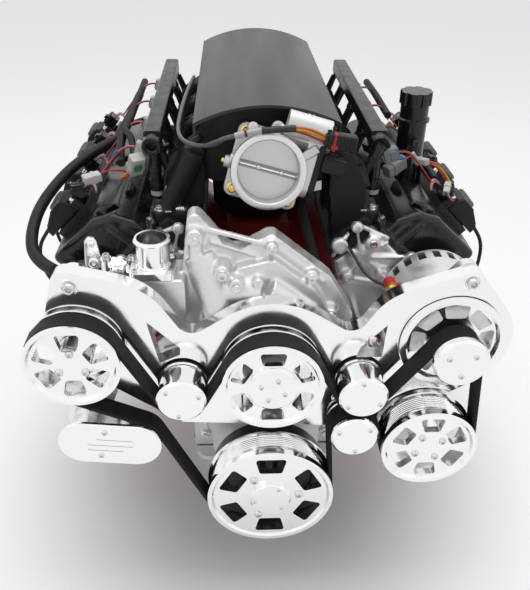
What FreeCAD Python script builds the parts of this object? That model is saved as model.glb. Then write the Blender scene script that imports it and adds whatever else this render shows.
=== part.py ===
import FreeCAD, Part
import itertools
import os
import re
from math import acos, atan2, cos, degrees, hypot, pi, radians, sin, tan

import Sketcher

# A complete V8 engine with its front accessory drive. Millimetres.
# The origin is on the crank axis at the rear face of the block, +Y points to the rear,
# +Z up and +X to the right as the engine is seen from the front.
# Distances called forward are measured from the front face of the block.

doc = FreeCAD.newDocument("engine")
sheet = doc.addObject("Spreadsheet::Sheet", "sizes")
known = set()
nodes = []
Vector = FreeCAD.Vector


def size(name, value):
    row = len(known) + 1
    sheet.set(f"A{row}", str(value))
    sheet.setAlias(f"A{row}", name)
    known.add(name)


# Block and crankcase
size("block_len", 520)
size("bank_angle", 45)
size("deck_height", 234.7)
size("deck_outer", 76)
size("deck_inner", 75)
size("bank_drop", 100)
size("skirt_depth", 60)
size("skirt_half", 118)
size("skirt_top", 22)
size("valley_half", 62)
size("valley_floor", 172)
size("bore_r", 51.6)
size("bore_foot", 82)
size("bore_pitch", 111.76)
size("bore_first_right", 80)
size("bore_first_left", 104)
size("main_first", 36)
size("main_width", 24)
size("bay_r", 92)
size("cap_half", 92)
size("cap_depth", 52)
size("valley_rib", 4)
size("valley_rise", 10)
size("wall_top", 196)
size("wall_thick", 12)
size("mount_pad_x", 150)
size("mount_pad_y", 250)
size("mount_pad_z", 16)
size("mount_pad_len", 104)
size("mount_pad_tall", 84)
size("mount_hole_r", 4.25)
size("mount_row", 76)
size("mount_rise", 58)
size("mount_hole_deep", 22)
size("bell_x", 158)
size("bell_low", 72)
size("bell_rise", 78)
size("bell_hole_r", 5.5)
size("bell_hole_deep", 24)
# Fits
size("running_fit", 0.05)
size("belt_gap", 0.3)
size("soft_gap", 0.3)
# Crankshaft and what turns with it
size("main_r", 32.5)
size("pin_r", 26.7)
size("throw", 46)
size("web_width", 18)
size("web_gap", 1)
size("web_pin_r", 33)
size("weight_r", 52)
size("weight_drop", 32)
size("snout_r", 19)
size("snout_reach", 132)
size("nose_back", 2)
size("hub_back", 24)
size("damper_ring_r", 64)
size("flange_r", 50)
size("flange_out", 18)
size("pilot_r", 21.7)
size("pilot_deep", 38)
size("flexplate_r", 160)
size("flexplate_thick", 3.4)
size("flexplate_rim", 10)
size("converter_circle_r", 141)
size("converter_hole_r", 5.2)
size("flexplate_window_r", 20)
size("flexplate_window_at", 88)
size("hub_r", 26)
size("damper_r", 84)
size("damper_back", 104)
# Camshaft and timing set
size("cam_height", 124.5)
size("cam_r", 27.5)
size("cam_core_r", 19)
size("lobe_r", 19.5)
size("lobe_lift", 6)
size("lobe_width", 16)
size("lobe_apart", 20)
size("cam_start", 12)
size("cam_end", 496)
size("cam_nose_r", 15)
size("chain_pitch", 8)
size("tooth_tip", 1.2)
size("tooth_gap_r", 2.2)
size("sprocket_back", 10)
size("sprocket_width", 8)
size("chain_thick", 4)
size("chain_gap", 0.4)
# Covers and pan
size("cover_deep", 34)
size("cover_wall", 5)
size("cover_low_half", 88)
size("cover_top_half", 40)
size("cover_top", 146)
size("cover_crown_r", 42)
size("cover_round", 24)
size("rear_cover_deep", 11)
size("rear_cover_top", 70)
size("pan_rail_thick", 9)
size("pan_bottom", 195)
size("pan_wall", 5)
size("pan_floor", 7)
size("sump_half", 96)
size("sump_front", 34)
size("sump_rear", 36)
size("sump_corner", 30)
size("pan_draft", 4)
# Cylinder heads, measured across and along the bank
size("gasket_thick", 1.3)
size("head_start", 16)
size("head_end", 504)
size("head_tall", 116)
size("head_outer", 74)
size("exhaust_face", 84)
size("exhaust_low", 24)
size("exhaust_high", 70)
size("rail_outer", 26)
size("rail_inner", 116)
size("intake_low", 40)
size("intake_low_in", 134)
size("intake_high", 110)
size("intake_high_in", 124)
size("head_inner", 74)
size("exhaust_port_w", 34)
size("exhaust_port_tall", 30)
size("exhaust_port_deep", 12)
size("chamber_r", 48)
size("chamber_deep", 12)
# Valve covers
size("rocker_start", 30)
size("rocker_end", 492)
size("rocker_tall", 81)
size("rocker_inner", 112)
size("rocker_outer", 22)
size("rocker_step", 33)
size("rocker_bevel", 62)
size("rocker_bevel_in", 98)
size("rocker_crown", 66)
size("rocker_wall", 4)
size("rocker_round", 9)
size("cover_bolt_across", -84)
size("cover_bolt_first", 62)
size("cover_bolt_apart", 199)
size("cover_pocket_r", 15)
size("cover_pocket_floor", 44)
# Intake manifold
size("plenum_half", 90)
size("plenum_low", 385)
size("plenum_high", 462)
size("plenum_start", 97)
size("plenum_end", 560)
size("runner_w", 44)
size("runner_out_x", 118)
size("runner_out_z", 444)
size("runner_bend_x", 146)
size("runner_bend_z", 400)
size("runner_foot_z", 345)
size("flange_thick", 12)
size("flange_start", 24)
size("flange_end", 496)
size("plenum_corner", 16)
size("runner_round", 12)
size("arch_rib", 10)
size("arch_half", 105)
size("arch_edge", 485)
size("arch_crown", 511)
size("arch_thick", 4)
size("arch_start", 67)
size("arch_end", 580)
size("arch_lip", 16)
# Throttle, with its axis tipped up towards the front
size("throttle_tilt", 13)
size("throttle_y", 22)
size("throttle_z", 431)
size("throttle_bore", 43.5)
size("throttle_ring", 51)
size("throttle_barrel", 47.5)
size("barrel_draft", 1)
size("throttle_lip", 14)
size("throttle_deep", 62)
size("throttle_flange", 14)
size("throttle_lug_at", 42)
size("throttle_lug_r", 12)
size("neck_reach", 34)
size("neck_bore_deep", 60)
size("blade_thick", 2)
size("blade_at", 28)
size("blade_gap", 0.5)
size("blade_shaft_r", 5)
size("blade_shaft_left", 56)
size("blade_shaft_right", 60)
size("blade_boss_r", 9)
size("blade_lean", 15)
size("motor_r", 17)
size("motor_len", 58)
size("motor_x", 16)
size("motor_y", 28)
size("motor_z", 58)
size("gear_in", 44)
size("gear_thick", 17)
size("gear_low", -8)
size("gear_low_r", 18.5)
size("gear_high_r", 19)
size("gear_cover_thick", 9)
size("plug_box_len", 32)
size("plug_box_w", 24)
size("plug_box_tall", 22)
size("plug_box_y", 14)
size("plug_box_z", 18)
# Fuel
size("rail_x", 166)
size("rail_z", 452)
size("rail_half", 12.5)
size("rail_front", 96)
size("rail_back", 518)
size("rail_corner", 4)
size("injector_r", 7.5)
size("injector_len", 62)
size("injector_lean", 24)
# Ignition
size("coil_first", 130)
size("coil_w", 52)
size("coil_in", 64)
size("coil_out", 34)
size("coil_tall", 34)
size("coil_foot", 14)
size("coil_rail_thick", 8)
size("coil_rail_in", 52)
size("coil_rail_out", 16)
size("coil_rail_start", 92)
size("coil_rail_end", 492)
size("boot_r", 9)
size("boot_len", 30)
size("boot_up", 46)
size("boot_shift", 40)
size("lead_r", 3)
size("hose_r", 8)
size("cable_r", 3.2)
size("loom_r", 9)
# Oil filler and dipstick
size("filler_x", 237)
size("filler_s", 184)
size("filler_r", 22)
size("filler_bore", 18.5)
size("filler_foot", 330)
size("filler_top", 478)
size("filler_bore_deep", 60)
size("cap_r", 25)
size("cap_tall", 20)
size("cap_plug_deep", 12)
size("cap_notch_r", 7)
size("tube_r", 5)
size("tube_bore", 3.2)
size("dipstick_r", 2)
size("stick_across", 98)
size("stick_low", 62)
size("stick_seat", 20)
size("stick_top", 378)
size("stick_s", 396)
size("stick_ring_r", 13)
# Belt and its pulleys: centre x, centre z, rim radius
size("belt_mid", 153)
size("belt_width", 28.5)
size("belt_thick", 4.5)
size("belt_ribs", 8)
size("rib_depth", 2.2)
size("rib_land", 0.5)
size("rim_lip", 4)
size("rim_back", 134)
size("rim_wall", 8)
size("hub_step", 3)
size("crank_rim", 93)
size("crank_front", 178)
size("crank_window_in", 50)
size("pump_z", 205)
size("pump_rim", 69)
size("pump_front", 172)
size("pump_window_in", 38)
size("pump_cap_r", 35)
size("air_x", -259)
size("air_z", 247)
size("air_rim", 63)
size("air_front", 172)
size("air_window_in", 24)
size("air_hub_r", 24)
size("air_nose_front", 132)
size("steer_x", 224)
size("steer_z", 94)
size("steer_rim", 68)
size("steer_front", 178)
size("steer_window_in", 31)
size("charge_x", 244)
size("charge_z", 249)
size("charge_rim", 29)
size("charge_cap_r", 37)
size("charge_front", 182)
size("idler_x", 122)
size("idler_z", 190)
size("idler_cap_r", 33.5)
size("idler_rim", 31)
size("idler_front", 178)
size("idler_back", 133)
size("low_idler_x", 116)
size("low_idler_z", 117.5)
size("post_r", 9)
size("post_front", 167)
size("tension_pivot_x", -258.6)
size("tension_pivot_z", 115)
size("tension_x", -189)
size("tension_z", 107)
size("tension_rim", 33)
size("tension_pin_r", 8)
size("tension_boss_r", 20)
size("tension_arm_back", 120)
size("tension_arm_front", 135)
size("tension_stop", 168)
size("tension_cover_r", 36)
size("tension_cover_thick", 5)
size("spring_case_r", 32)
size("slot_corner", 4.5)
size("slot_spread", 13.5)
size("shaft_r", 10)
size("charge_shaft_r", 8)
# Accessory bracket
size("plate_back", 107)
size("plate_front", 129)
size("plate_hump_r", 107)
size("plate_valley_r", 22)
size("plate_valley_x", 106)
size("plate_valley_z", 290)
size("ear_x", 256)
size("ear_z", 342)
size("ear_r", 17)
size("charge_hole_r", 72.5)
size("plate_ring_r", 84)
size("window_corner", 5)
size("hump_hole_r", 40)
size("air_hole_r", 46)
size("bolt_hole_r", 4.2)
size("standoff_left_x", -185)
size("standoff_left_z", 245)
size("standoff_right_x", 136)
size("standoff_right_z", 214)
size("standoff_low_x", 92)
size("standoff_low_z", 150)
size("standoff_r", 9.5)
# Water pump and coolant neck
size("casting_back", 36)
size("casting_front", 66)
size("casting_pad_front", 84)
size("snout_out", 100)
size("pump_snout_r", 36)
size("pump_shaft_back", 62)
size("outlet_left", -185)
size("outlet_right", -115)
size("outlet_low", 258)
size("outlet_front", 90)
size("outlet_back", 30)
size("neck_x", -158)
size("neck_y", 60)
size("neck_r", 22.5)
size("neck_wall", 2.5)
size("neck_top", 374)
size("neck_base", 335)
size("neck_flange", 10)
size("neck_half", 30)
size("foot_x", 98)
size("foot_z", 186)
size("foot_r", 13)
# Compressor, alternator and steering pump bodies
size("air_body_r", 56)
size("air_body_back", -10)
size("air_body_front", 70)
size("air_step_r", 48)
size("air_step_front", 96)
size("air_flange_r", 44)
size("charge_body_r", 70)
size("charge_body_back", -8)
size("charge_mouth", 118)
size("charge_frame_r", 71.5)
size("charge_face", 137)
size("charge_dish", 7)
size("vents", 20)
size("vent_w", 11)
size("vent_len", 18)
size("vent_deep", 10)
size("vent_front_at", 70)
size("vent_back_at", 4)
size("steer_body_r", 44)
size("steer_body_back", 24)
size("ear_thick", 12)
size("ear_back", 95)
# Oil filter
size("filter_r", 38)
size("filter_len", 88)
size("filter_x", 137)
size("filter_s", 430)
size("filter_pad_thick", 16)
doc.recompute()

words = re.compile(r"[a-z][a-z0-9_]*")
labels = itertools.count(1)


def bound(text):
    # An expression in words, with every size pointed at the sheet
    return words.sub(lambda m: "sizes." + m.group() if m.group() in known else m.group(), str(text))


def val(text):
    return float(sheet.evalExpression(str(text)))


def behind(text):
    # The y of a place that lies this far behind the front face of the block
    return f"({text}) - block_len"


def ahead(text):
    return f"-block_len - ({text})"


def place(item, x="0", y="0", z="0", axis=None, angle="0"):
    turn = FreeCAD.Rotation(Vector(*axis), val(angle)) if axis else FreeCAD.Rotation()
    item.Placement = FreeCAD.Placement(Vector(val(x), val(y), val(z)), turn)
    item.setExpression(".Placement.Base.x", bound(x))
    item.setExpression(".Placement.Base.y", bound(y))
    item.setExpression(".Placement.Base.z", bound(z))
    if axis:
        item.setExpression(".Placement.Rotation.Angle", bound(angle))
    return item


def keep(item, name):
    item.Label = name
    nodes.append(item)
    return item


# Part design helpers

def body(name, kept=True):
    made = doc.addObject("PartDesign::Body", name)
    doc.recompute()
    if kept:
        keep(made, name)
    return made


def origin_part(made, role):
    return [item for item in made.Origin.OriginFeatures if item.Role == role][0]


def sketch(made, role="XZ_Plane", lift="0"):
    flat = made.newObject("Sketcher::SketchObject", f"outline{next(labels)}")
    flat.AttachmentSupport = (origin_part(made, role), [""])
    flat.MapMode = "FlatFace"
    flat.setExpression("AttachmentOffset.Base.z", bound(lift))
    return flat


def pin_point(flat, line, end, x, y):
    for kind, text in (("DistanceX", x), ("DistanceY", y)):
        mark = flat.addConstraint(Sketcher.Constraint(kind, -1, 1, line, end, val(text)))
        flat.setExpression(f"Constraints[{mark}]", bound(text))


def polygon(flat, points):
    first = flat.GeometryCount
    count = len(points)
    at = [Vector(val(x), val(y), 0) for x, y in points]
    flat.addGeometry([Part.LineSegment(at[i], at[(i + 1) % count]) for i in range(count)], False)
    for i, (x, y) in enumerate(points):
        flat.addConstraint(Sketcher.Constraint("Coincident", first + i, 2, first + (i + 1) % count, 1))
        pin_point(flat, first + i, 1, x, y)
    return flat


def circle(flat, x, y, radius):
    first = flat.GeometryCount
    flat.addGeometry(Part.Circle(Vector(val(x), val(y), 0), Vector(0, 0, 1), val(radius)), False)
    pin_point(flat, first, 3, x, y)
    mark = flat.addConstraint(Sketcher.Constraint("Radius", first, val(radius)))
    flat.setExpression(f"Constraints[{mark}]", bound(radius))
    return flat


def tangents(discs):
    # The straight runs of a loop that goes round each disc in turn, anticlockwise
    # where its turn is 1 and clockwise where it is -1
    runs = []
    for (x, y, radius, turn), (x2, y2, radius2, turn2) in zip(discs, discs[1:] + discs[:1]):
        away = hypot(x2 - x, y2 - y)
        slant = atan2(y2 - y, x2 - x) - acos((radius * turn - radius2 * turn2) / away)
        out = (x + radius * turn * cos(slant), y + radius * turn * sin(slant))
        reach = (x2 + radius2 * turn2 * cos(slant), y2 + radius2 * turn2 * sin(slant))
        runs.append((out, reach))
    return runs


def loop(flat, discs):
    # A closed outline of arcs about the discs, joined by the tangents between them
    first = flat.GeometryCount
    count = len(discs)
    round_discs = [(val(x), val(y), val(radius), turn) for x, y, radius, turn in discs]
    runs = tangents(round_discs)
    for i, (x, y, radius, turn) in enumerate(round_discs):
        start, end = runs[i - 1][1], runs[i][0]
        if turn < 0:
            start, end = end, start
        low = atan2(start[1] - y, start[0] - x)
        high = atan2(end[1] - y, end[0] - x)
        if high <= low:
            high += 2 * pi
        arc = Part.ArcOfCircle(Part.Circle(Vector(x, y, 0), Vector(0, 0, 1), radius), low, high)
        flat.addGeometry(arc, False)
    for out, reach in runs:
        flat.addGeometry(Part.LineSegment(Vector(*out, 0), Vector(*reach, 0)), False)
    for i, disc in enumerate(discs):
        after = (i + 1) % count
        leave = 2 if disc[3] > 0 else 1
        arrive = 1 if discs[after][3] > 0 else 2
        line = first + count + i
        flat.addConstraint(Sketcher.Constraint("Tangent", line, 1, first + i, leave))
        flat.addConstraint(Sketcher.Constraint("Tangent", line, 2, first + after, arrive))
    for i, (x, y, radius, turn) in enumerate(discs):
        pin_point(flat, first + i, 3, x, y)
        mark = flat.addConstraint(Sketcher.Constraint("Radius", first + i, val(radius)))
        flat.setExpression(f"Constraints[{mark}]", bound(radius))
    return flat


def pad(made, flat, length, back=False, draft=None):
    # Forward, or upward from a level sketch, unless back is set
    grown = made.newObject("PartDesign::Pad", f"pad{next(labels)}")
    grown.Profile = flat
    grown.setExpression("Length", bound(length))
    grown.Reversed = back
    if draft:
        grown.setExpression("TaperAngle", bound(draft))
    made.Tip = grown
    return grown


def pocket(made, flat, length=None, back=False, draft=None):
    # Cuts forward, or upward from a level sketch, unless back is set; through all with no length
    hole = made.newObject("PartDesign::Pocket", f"pocket{next(labels)}")
    hole.Profile = flat
    if length is None:
        hole.Type = "ThroughAll"
        hole.Midplane = True
    else:
        hole.setExpression("Length", bound(length))
        hole.Reversed = not back
    if draft:
        hole.setExpression("TaperAngle", bound(draft))
    made.Tip = hole
    return hole


def turned(made, points, cut=False, below=False):
    # Revolved about the piece's own Y axis from (radius, forward) points, drawn beside it or below it
    if below:
        flat = polygon(sketch(made, "YZ_Plane"), [(f"-({f})", f"-({r})") for r, f in points])
    else:
        flat = polygon(sketch(made, "XY_Plane"), [(r, f"-({f})") for r, f in points])
    kind = "PartDesign::Groove" if cut else "PartDesign::Revolution"
    spun = made.newObject(kind, f"turned{next(labels)}")
    spun.Profile = flat
    spun.ReferenceAxis = (flat, ["H_Axis" if below else "V_Axis"])
    spun.Angle = 360
    made.Tip = spun
    return spun


def polar(made, feature, count, role="Y_Axis"):
    ring = made.newObject("PartDesign::PolarPattern", f"ring{next(labels)}")
    ring.Originals = [feature]
    ring.Axis = (origin_part(made, role), [""])
    ring.Angle = 360
    ring.Occurrences = count
    made.Tip = ring
    return ring


def rows(made, features, step, count, role="Y_Axis", back=True):
    row = made.newObject("PartDesign::LinearPattern", f"row{next(labels)}")
    row.Originals = features
    row.Direction = (origin_part(made, role), [""])
    row.Reversed = not back
    row.setExpression("Length", bound(f"({step})*{count - 1}"))
    row.Occurrences = count
    made.Tip = row
    return row


def soften(made, radius, test, kind="PartDesign::Fillet"):
    # Rounds the edges that pass the test, each given by its middle and its box
    doc.recompute()
    base = made.Tip
    names = []
    for i, edge in enumerate(base.Shape.Edges):
        if test(edge.CenterOfMass, edge.BoundBox):
            names.append(f"Edge{i + 1}")
    smooth = made.newObject(kind, f"soft{next(labels)}")
    smooth.Base = (base, names)
    smooth.setExpression("Radius" if kind.endswith("Fillet") else "Size", bound(radius))
    made.Tip = smooth
    return smooth


# Part helpers

def cylinder(radius, height, x="0", y="0", z="0", axis=None, angle="0", name="round"):
    made = doc.addObject("Part::Cylinder", f"{name}{next(labels)}")
    made.setExpression("Radius", bound(radius))
    made.setExpression("Height", bound(height))
    return place(made, x, y, z, axis, angle)


def along_y(radius, length, x, y, z):
    # A cylinder that starts at y and runs to the rear
    return cylinder(radius, length, x, y, z, (1, 0, 0), "-90")


def box(length, width, height, x="0", y="0", z="0", axis=None, angle="0"):
    made = doc.addObject("Part::Box", f"box{next(labels)}")
    made.setExpression("Length", bound(length))
    made.setExpression("Width", bound(width))
    made.setExpression("Height", bound(height))
    return place(made, x, y, z, axis, angle)


def fuse(parts, name=None):
    made = doc.addObject("Part::MultiFuse", name or f"joined{next(labels)}")
    made.Shapes = parts
    if name:
        keep(made, name)
    return made


def cut(base, tool, name=None):
    made = doc.addObject("Part::Cut", name or f"cut{next(labels)}")
    made.Base = base
    made.Tool = tool
    if name:
        keep(made, name)
    return made


def group(parts, name):
    # Pieces that are alike and stay separate solids
    made = doc.addObject("Part::Compound", name)
    made.Links = parts
    return keep(made, name)


def route(points):
    # Straight runs joined by tangent arcs, each as large as its two runs allow
    at = [Vector(*p) for p in points]
    edges = []
    radii = []
    start = at[0]
    for before, corner, after in zip(at, at[1:], at[2:]):
        come = (before - corner).normalize()
        go = (after - corner).normalize()
        half_turn = (pi - come.getAngle(go)) / 2
        reach = 0.45 * min((before - corner).Length, (after - corner).Length)
        radius = reach / tan(half_turn)
        radii.append(radius)
        enter = corner + come * reach
        leave = corner + go * reach
        bisect = (come + go).normalize()
        middle = corner + bisect * (radius / cos(half_turn) - radius)
        edges.append(Part.LineSegment(start, enter).toShape())
        edges.append(Part.Arc(enter, middle, leave).toShape())
        start = leave
    edges.append(Part.LineSegment(start, at[-1]).toShape())
    return Part.Wire(edges), radii


def swept(points, radius):
    path, radii = route(points)
    first = Vector(*points[0])
    section = Part.Wire(Part.makeCircle(radius, first, Vector(*points[1]) - first))
    solid = path.makePipeShell([section], True, False)
    print("cord radii", [round(r, 1) for r in radii],
          "volume share", round(solid.Volume / (pi * radius ** 2 * path.Length), 4))
    return solid


def shaped(name, solid):
    made = doc.addObject("Part::Feature", name)
    made.Shape = solid
    return keep(made, name)


def bank(side, across, along):
    # A place on a bank: across from its middle plane, along from the crank axis
    x = f"{side}*(({along})*sin(bank_angle) + ({across})*cos(bank_angle))"
    z = f"({along})*cos(bank_angle) - ({across})*sin(bank_angle)"
    return x, z


def between(first, last, share):
    return tuple(f"({a})*(1 - {share}) + ({b})*{share}" for a, b in zip(first, last))


def bank_piece(name, side, kept=True):
    # A piece drawn with x across the bank and z along it, then leaned with the bank
    made = body(name, kept)
    place(made, axis=(0, side, 0), angle="bank_angle")
    return made


def corners(low_x, high_x, low, high, corner):
    # A rectangle with its corners rounded, for a loop
    left, right = f"{low_x} + {corner}", f"{high_x} - ({corner})"
    bottom, top = f"{low} + {corner}", f"{high} - ({corner})"
    return [(right, bottom, corner, 1), (right, top, corner, 1), (left, top, corner, 1), (left, bottom, corner, 1)]


def arched(flat, half, low, edge, crown):
    # Straight sides under one arc that rises from edge to crown
    rise = val(f"({crown}) - ({edge})")
    radius = (val(half) ** 2 + rise ** 2) / (2 * rise)
    middle = val(crown) - radius
    low_angle = atan2(val(edge) - middle, val(half))
    corners = [(half, edge), (f"-({half})", edge), (f"-({half})", low), (half, low)]
    at = [Vector(val(x), val(y), 0) for x, y in corners]
    arc = Part.ArcOfCircle(Part.Circle(Vector(0, middle, 0), Vector(0, 0, 1), radius), low_angle, pi - low_angle)
    flat.addGeometry(arc, False)
    flat.addGeometry([Part.LineSegment(at[i], at[(i + 1) % 4]) for i in (1, 2, 3)], False)
    flat.addConstraint(Sketcher.Constraint("Coincident", 0, 2, 1, 1))
    flat.addConstraint(Sketcher.Constraint("Coincident", 1, 2, 2, 1))
    flat.addConstraint(Sketcher.Constraint("Coincident", 2, 2, 3, 1))
    flat.addConstraint(Sketcher.Constraint("Coincident", 3, 2, 0, 1))
    pin_point(flat, 1, 1, *corners[1])
    pin_point(flat, 2, 1, *corners[2])
    pin_point(flat, 3, 1, *corners[3])
    pin_point(flat, 3, 2, *corners[0])
    centre = f"({crown}) - (({half})^2 + (({crown}) - ({edge}))^2)/(2*(({crown}) - ({edge})))"
    mark = flat.addConstraint(Sketcher.Constraint("DistanceY", -1, 1, 0, 3, middle))
    flat.setExpression(f"Constraints[{mark}]", bound(centre))
    return flat


bores = [(side, first, k) for side, first in ((1, "bore_first_right"), (-1, "bore_first_left")) for k in range(4)]

# Engine block: two banks over a skirted crankcase, open below and at the decks

core = body("block_core", kept=False)
half_outline = [("skirt_half", "-skirt_depth"), ("skirt_half", "skirt_top"),
                bank(1, "deck_outer", "deck_height - bank_drop"), bank(1, "deck_outer", "deck_height"),
                bank(1, "-deck_inner", "deck_height"), ("valley_half", "valley_floor")]
whole = half_outline + [(f"-({x})", z) for x, z in reversed(half_outline)]
pad(core, polygon(sketch(core), whole), "block_len")
crankcase = [("cap_half", "-skirt_depth"), ("cap_half", "0"), ("-cap_half", "0"), ("-cap_half", "-skirt_depth")]
pocket(core, polygon(sketch(core), crankcase))
bay_lift = "block_len - main_first - bore_pitch + main_width/2"
bay = pocket(core, circle(sketch(core, lift=bay_lift), "0", "0", "bay_r"), "bore_pitch - main_width")
rows(core, [bay], "bore_pitch", 4)
pocket(core, circle(sketch(core), "0", "0", "main_r + running_fit"))
pocket(core, circle(sketch(core), "0", "cam_height", "cam_r + running_fit"))
end_wall = [("valley_half + 6", "valley_floor - 10"), ("valley_half + 6", "wall_top"),
            ("-valley_half - 6", "wall_top"), ("-valley_half - 6", "valley_floor - 10")]
pad(core, polygon(sketch(core), end_wall), "wall_thick")
pad(core, polygon(sketch(core, lift="block_len - wall_thick"), end_wall), "wall_thick")

block_parts = [core]
block_holes = []
for side in (1, -1):
    inner = "skirt_half - 6" if side > 0 else "-mount_pad_x"
    block_parts.append(box("mount_pad_x - skirt_half + 6", "mount_pad_len", "mount_pad_tall",
                           inner, behind("mount_pad_y - mount_pad_len/2"), "mount_pad_z - mount_pad_tall/2"))
    for along, up in itertools.product((-1, 1), (-1, 1)):
        block_holes.append(cylinder("mount_hole_r", "mount_hole_deep", f"{side}*mount_pad_x",
                                    behind(f"mount_pad_y + {along}*mount_row/2"),
                                    f"mount_pad_z + {up}*mount_rise/2", (0, side, 0), "-90"))
for across, up in itertools.product((-1, 1), (0, 1)):
    # Tapped holes in the rear face for the bellhousing
    block_holes.append(along_y("bell_hole_r", "bell_hole_deep", f"{across}*bell_x", "-bell_hole_deep",
                               f"bell_low + {up}*bell_rise"))
for k in range(5):
    # Cross ribs over the valley
    at_y = behind(f"main_first + bore_pitch*{k} - valley_rib/2")
    block_parts.append(box("valley_half*2 + 20", "valley_rib", "valley_rise", "-valley_half - 10", at_y, "valley_floor - 2"))
for side, first, k in bores:
    x, z = bank(side, "0", "bore_foot")
    block_holes.append(cylinder("bore_r", "deck_height - bore_foot + 10", x, behind(f"{first} + bore_pitch*{k}"), z,
                                (0, side, 0), "bank_angle"))
stick_x, stick_z = bank(-1, "stick_across", "stick_low")
block_holes.append(cylinder("tube_r + running_fit", "stick_seat", stick_x, behind("stick_s"), stick_z,
                            (0, -1, 0), "bank_angle"))
cut(fuse(block_parts), fuse(block_holes), "engine_block")

# Main bearing caps, one under each bulkhead

caps = []
for k in range(5):
    start = behind(f"main_first + bore_pitch*{k} - main_width/2")
    cap = box("cap_half*2", "main_width", "cap_depth", "-cap_half", start, "-cap_depth")
    caps.append(cut(cap, along_y("main_r + running_fit", "main_width", "0", start, "0")))
group(caps, "main_bearing_caps")

# Crankshaft: five journals, four throws a quarter turn apart, snout and flange


def crank_web(start, angle):
    web = body("crank_web", kept=False)
    pad(web, loop(sketch(web), [("0", "throw", "web_pin_r", 1), ("0", "-weight_drop", "weight_r", 1)]), "web_width")
    place(web, "0", behind(f"{start} + web_width"), "0", (0, 1, 0), angle)
    return web


first_web = "main_first + main_width/2 + web_gap"
second_web = "main_first + bore_pitch - main_width/2 - web_gap - web_width"
crank_parts = [along_y("snout_r", "snout_reach + nose_back", "0", ahead("snout_reach"), "0"),
               along_y("main_r", f"{first_web} - nose_back", "0", behind("nose_back"), "0"),
               along_y("flange_r", "flange_out - web_gap", "0", "web_gap", "0")]
for k, angle in enumerate((0, 90, 270, 180)):
    start = f"bore_pitch*{k}"
    crank_parts.append(crank_web(f"{first_web} + {start}", str(angle)))
    crank_parts.append(crank_web(f"{second_web} + {start}", str(angle)))
    crank_parts.append(along_y("pin_r", f"{second_web} - ({first_web})", f"throw*sin({angle})",
                               behind(f"{first_web} + {start} + web_width/2"), f"throw*cos({angle})"))
    journal_end = "block_len + web_gap" if k == 3 else f"{first_web} + bore_pitch*{k + 1}"
    journal = f"{second_web} + {start} + web_width"
    crank_parts.append(along_y("main_r", f"{journal_end} - ({journal})", "0", behind(journal), "0"))
pilot = along_y("pilot_r", "pilot_deep", "0", "flange_out - pilot_deep", "0")
cut(fuse(crank_parts), pilot, "crankshaft")

# Flexplate with its toothed rim, bolted to the crank flange

plate = body("flexplate")
rim_back = "-flange_out - flexplate_rim"
thin = "-flange_out - flexplate_thick"
turned(plate, [("pilot_r", "-flange_out"), ("flexplate_r", "-flange_out"), ("flexplate_r", rim_back),
               ("flexplate_r - flexplate_rim", rim_back), ("flexplate_r - flexplate_rim", thin), ("pilot_r", thin)])
bolt = pocket(plate, circle(sketch(plate), "0", "converter_circle_r", "converter_hole_r"))
polar(plate, bolt, 3)
window = pocket(plate, circle(sketch(plate), "0", "flexplate_window_at", "flexplate_window_r"))
polar(plate, window, 6)

# Damper, whose hub runs in the seal of the front cover

damper = body("harmonic_damper")
turned(damper, [("snout_r + running_fit", "hub_back"), ("hub_r", "hub_back"), ("hub_r", "damper_back"),
                ("damper_r", "damper_back"), ("damper_r", "rim_back"), ("damper_ring_r + 3", "rim_back"),
                ("damper_ring_r + 3", "rim_back - 5"), ("damper_ring_r", "rim_back - 5"),
                ("damper_ring_r", "rim_back"), ("snout_r + running_fit", "rim_back")])
place(damper, "0", "-block_len", "0")

# Camshaft: five journals, a core and a lobe for each valve

cam_parts = [along_y("cam_core_r", "cam_end - cam_start", "0", behind("cam_start"), "cam_height"),
             along_y("cam_nose_r", "cam_start + sprocket_back + sprocket_width", "0",
                     ahead("sprocket_back + sprocket_width"), "cam_height")]
for k in range(5):
    cam_parts.append(along_y("cam_r", "main_width", "0", behind(f"main_first + bore_pitch*{k} - main_width/2"),
                             "cam_height"))
firing_turn = 45
for index, (side, first, k) in enumerate(bores):
    for valve, spread in enumerate((-1, 1)):
        turn = index * firing_turn + valve * firing_turn * 2.5
        x = f"lobe_lift*sin({turn})"
        z = f"cam_height + lobe_lift*cos({turn})"
        start = behind(f"{first} + bore_pitch*{k} + {spread}*lobe_apart - lobe_width/2")
        cam_parts.append(along_y("lobe_r", "lobe_width", x, start, z))
fuse(cam_parts, "camshaft")


def sprocket(name, teeth, height, hole):
    # Pitch radius from the chain's pitch, with a gap cut for each tooth
    made = body(name)
    radius = f"chain_pitch/2/sin(180/{teeth})"
    turned(made, [(hole, "sprocket_back"), (f"{radius} + tooth_tip", "sprocket_back"),
                  (f"{radius} + tooth_tip", "sprocket_back + sprocket_width"), (hole, "sprocket_back + sprocket_width")])
    gap = pocket(made, circle(sketch(made), "0", f"{radius} + tooth_tip", "tooth_gap_r"))
    polar(made, gap, teeth)
    place(made, "0", "-block_len", height)
    return made


crank_teeth = 20
cam_teeth = 2 * crank_teeth
sprocket("crank_sprocket", crank_teeth, "0", "snout_r + running_fit")
sprocket("cam_sprocket", cam_teeth, "cam_height", "cam_nose_r + running_fit")

# Timing chain: a closed band round both sprockets

chain = body("timing_chain")
crank_run = f"chain_pitch/2/sin(180/{crank_teeth}) + tooth_tip + chain_gap"
cam_run = f"chain_pitch/2/sin(180/{cam_teeth}) + tooth_tip + chain_gap"
band = sketch(chain, lift="block_len + sprocket_back")
loop(band, [("0", "0", crank_run + " + chain_thick", 1), ("0", "cam_height", cam_run + " + chain_thick", 1)])
loop(band, [("0", "0", crank_run, 1), ("0", "cam_height", cam_run, 1)])
pad(chain, band, "sprocket_width")

# Front cover over the timing set, rear cover round the crank flange


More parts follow.
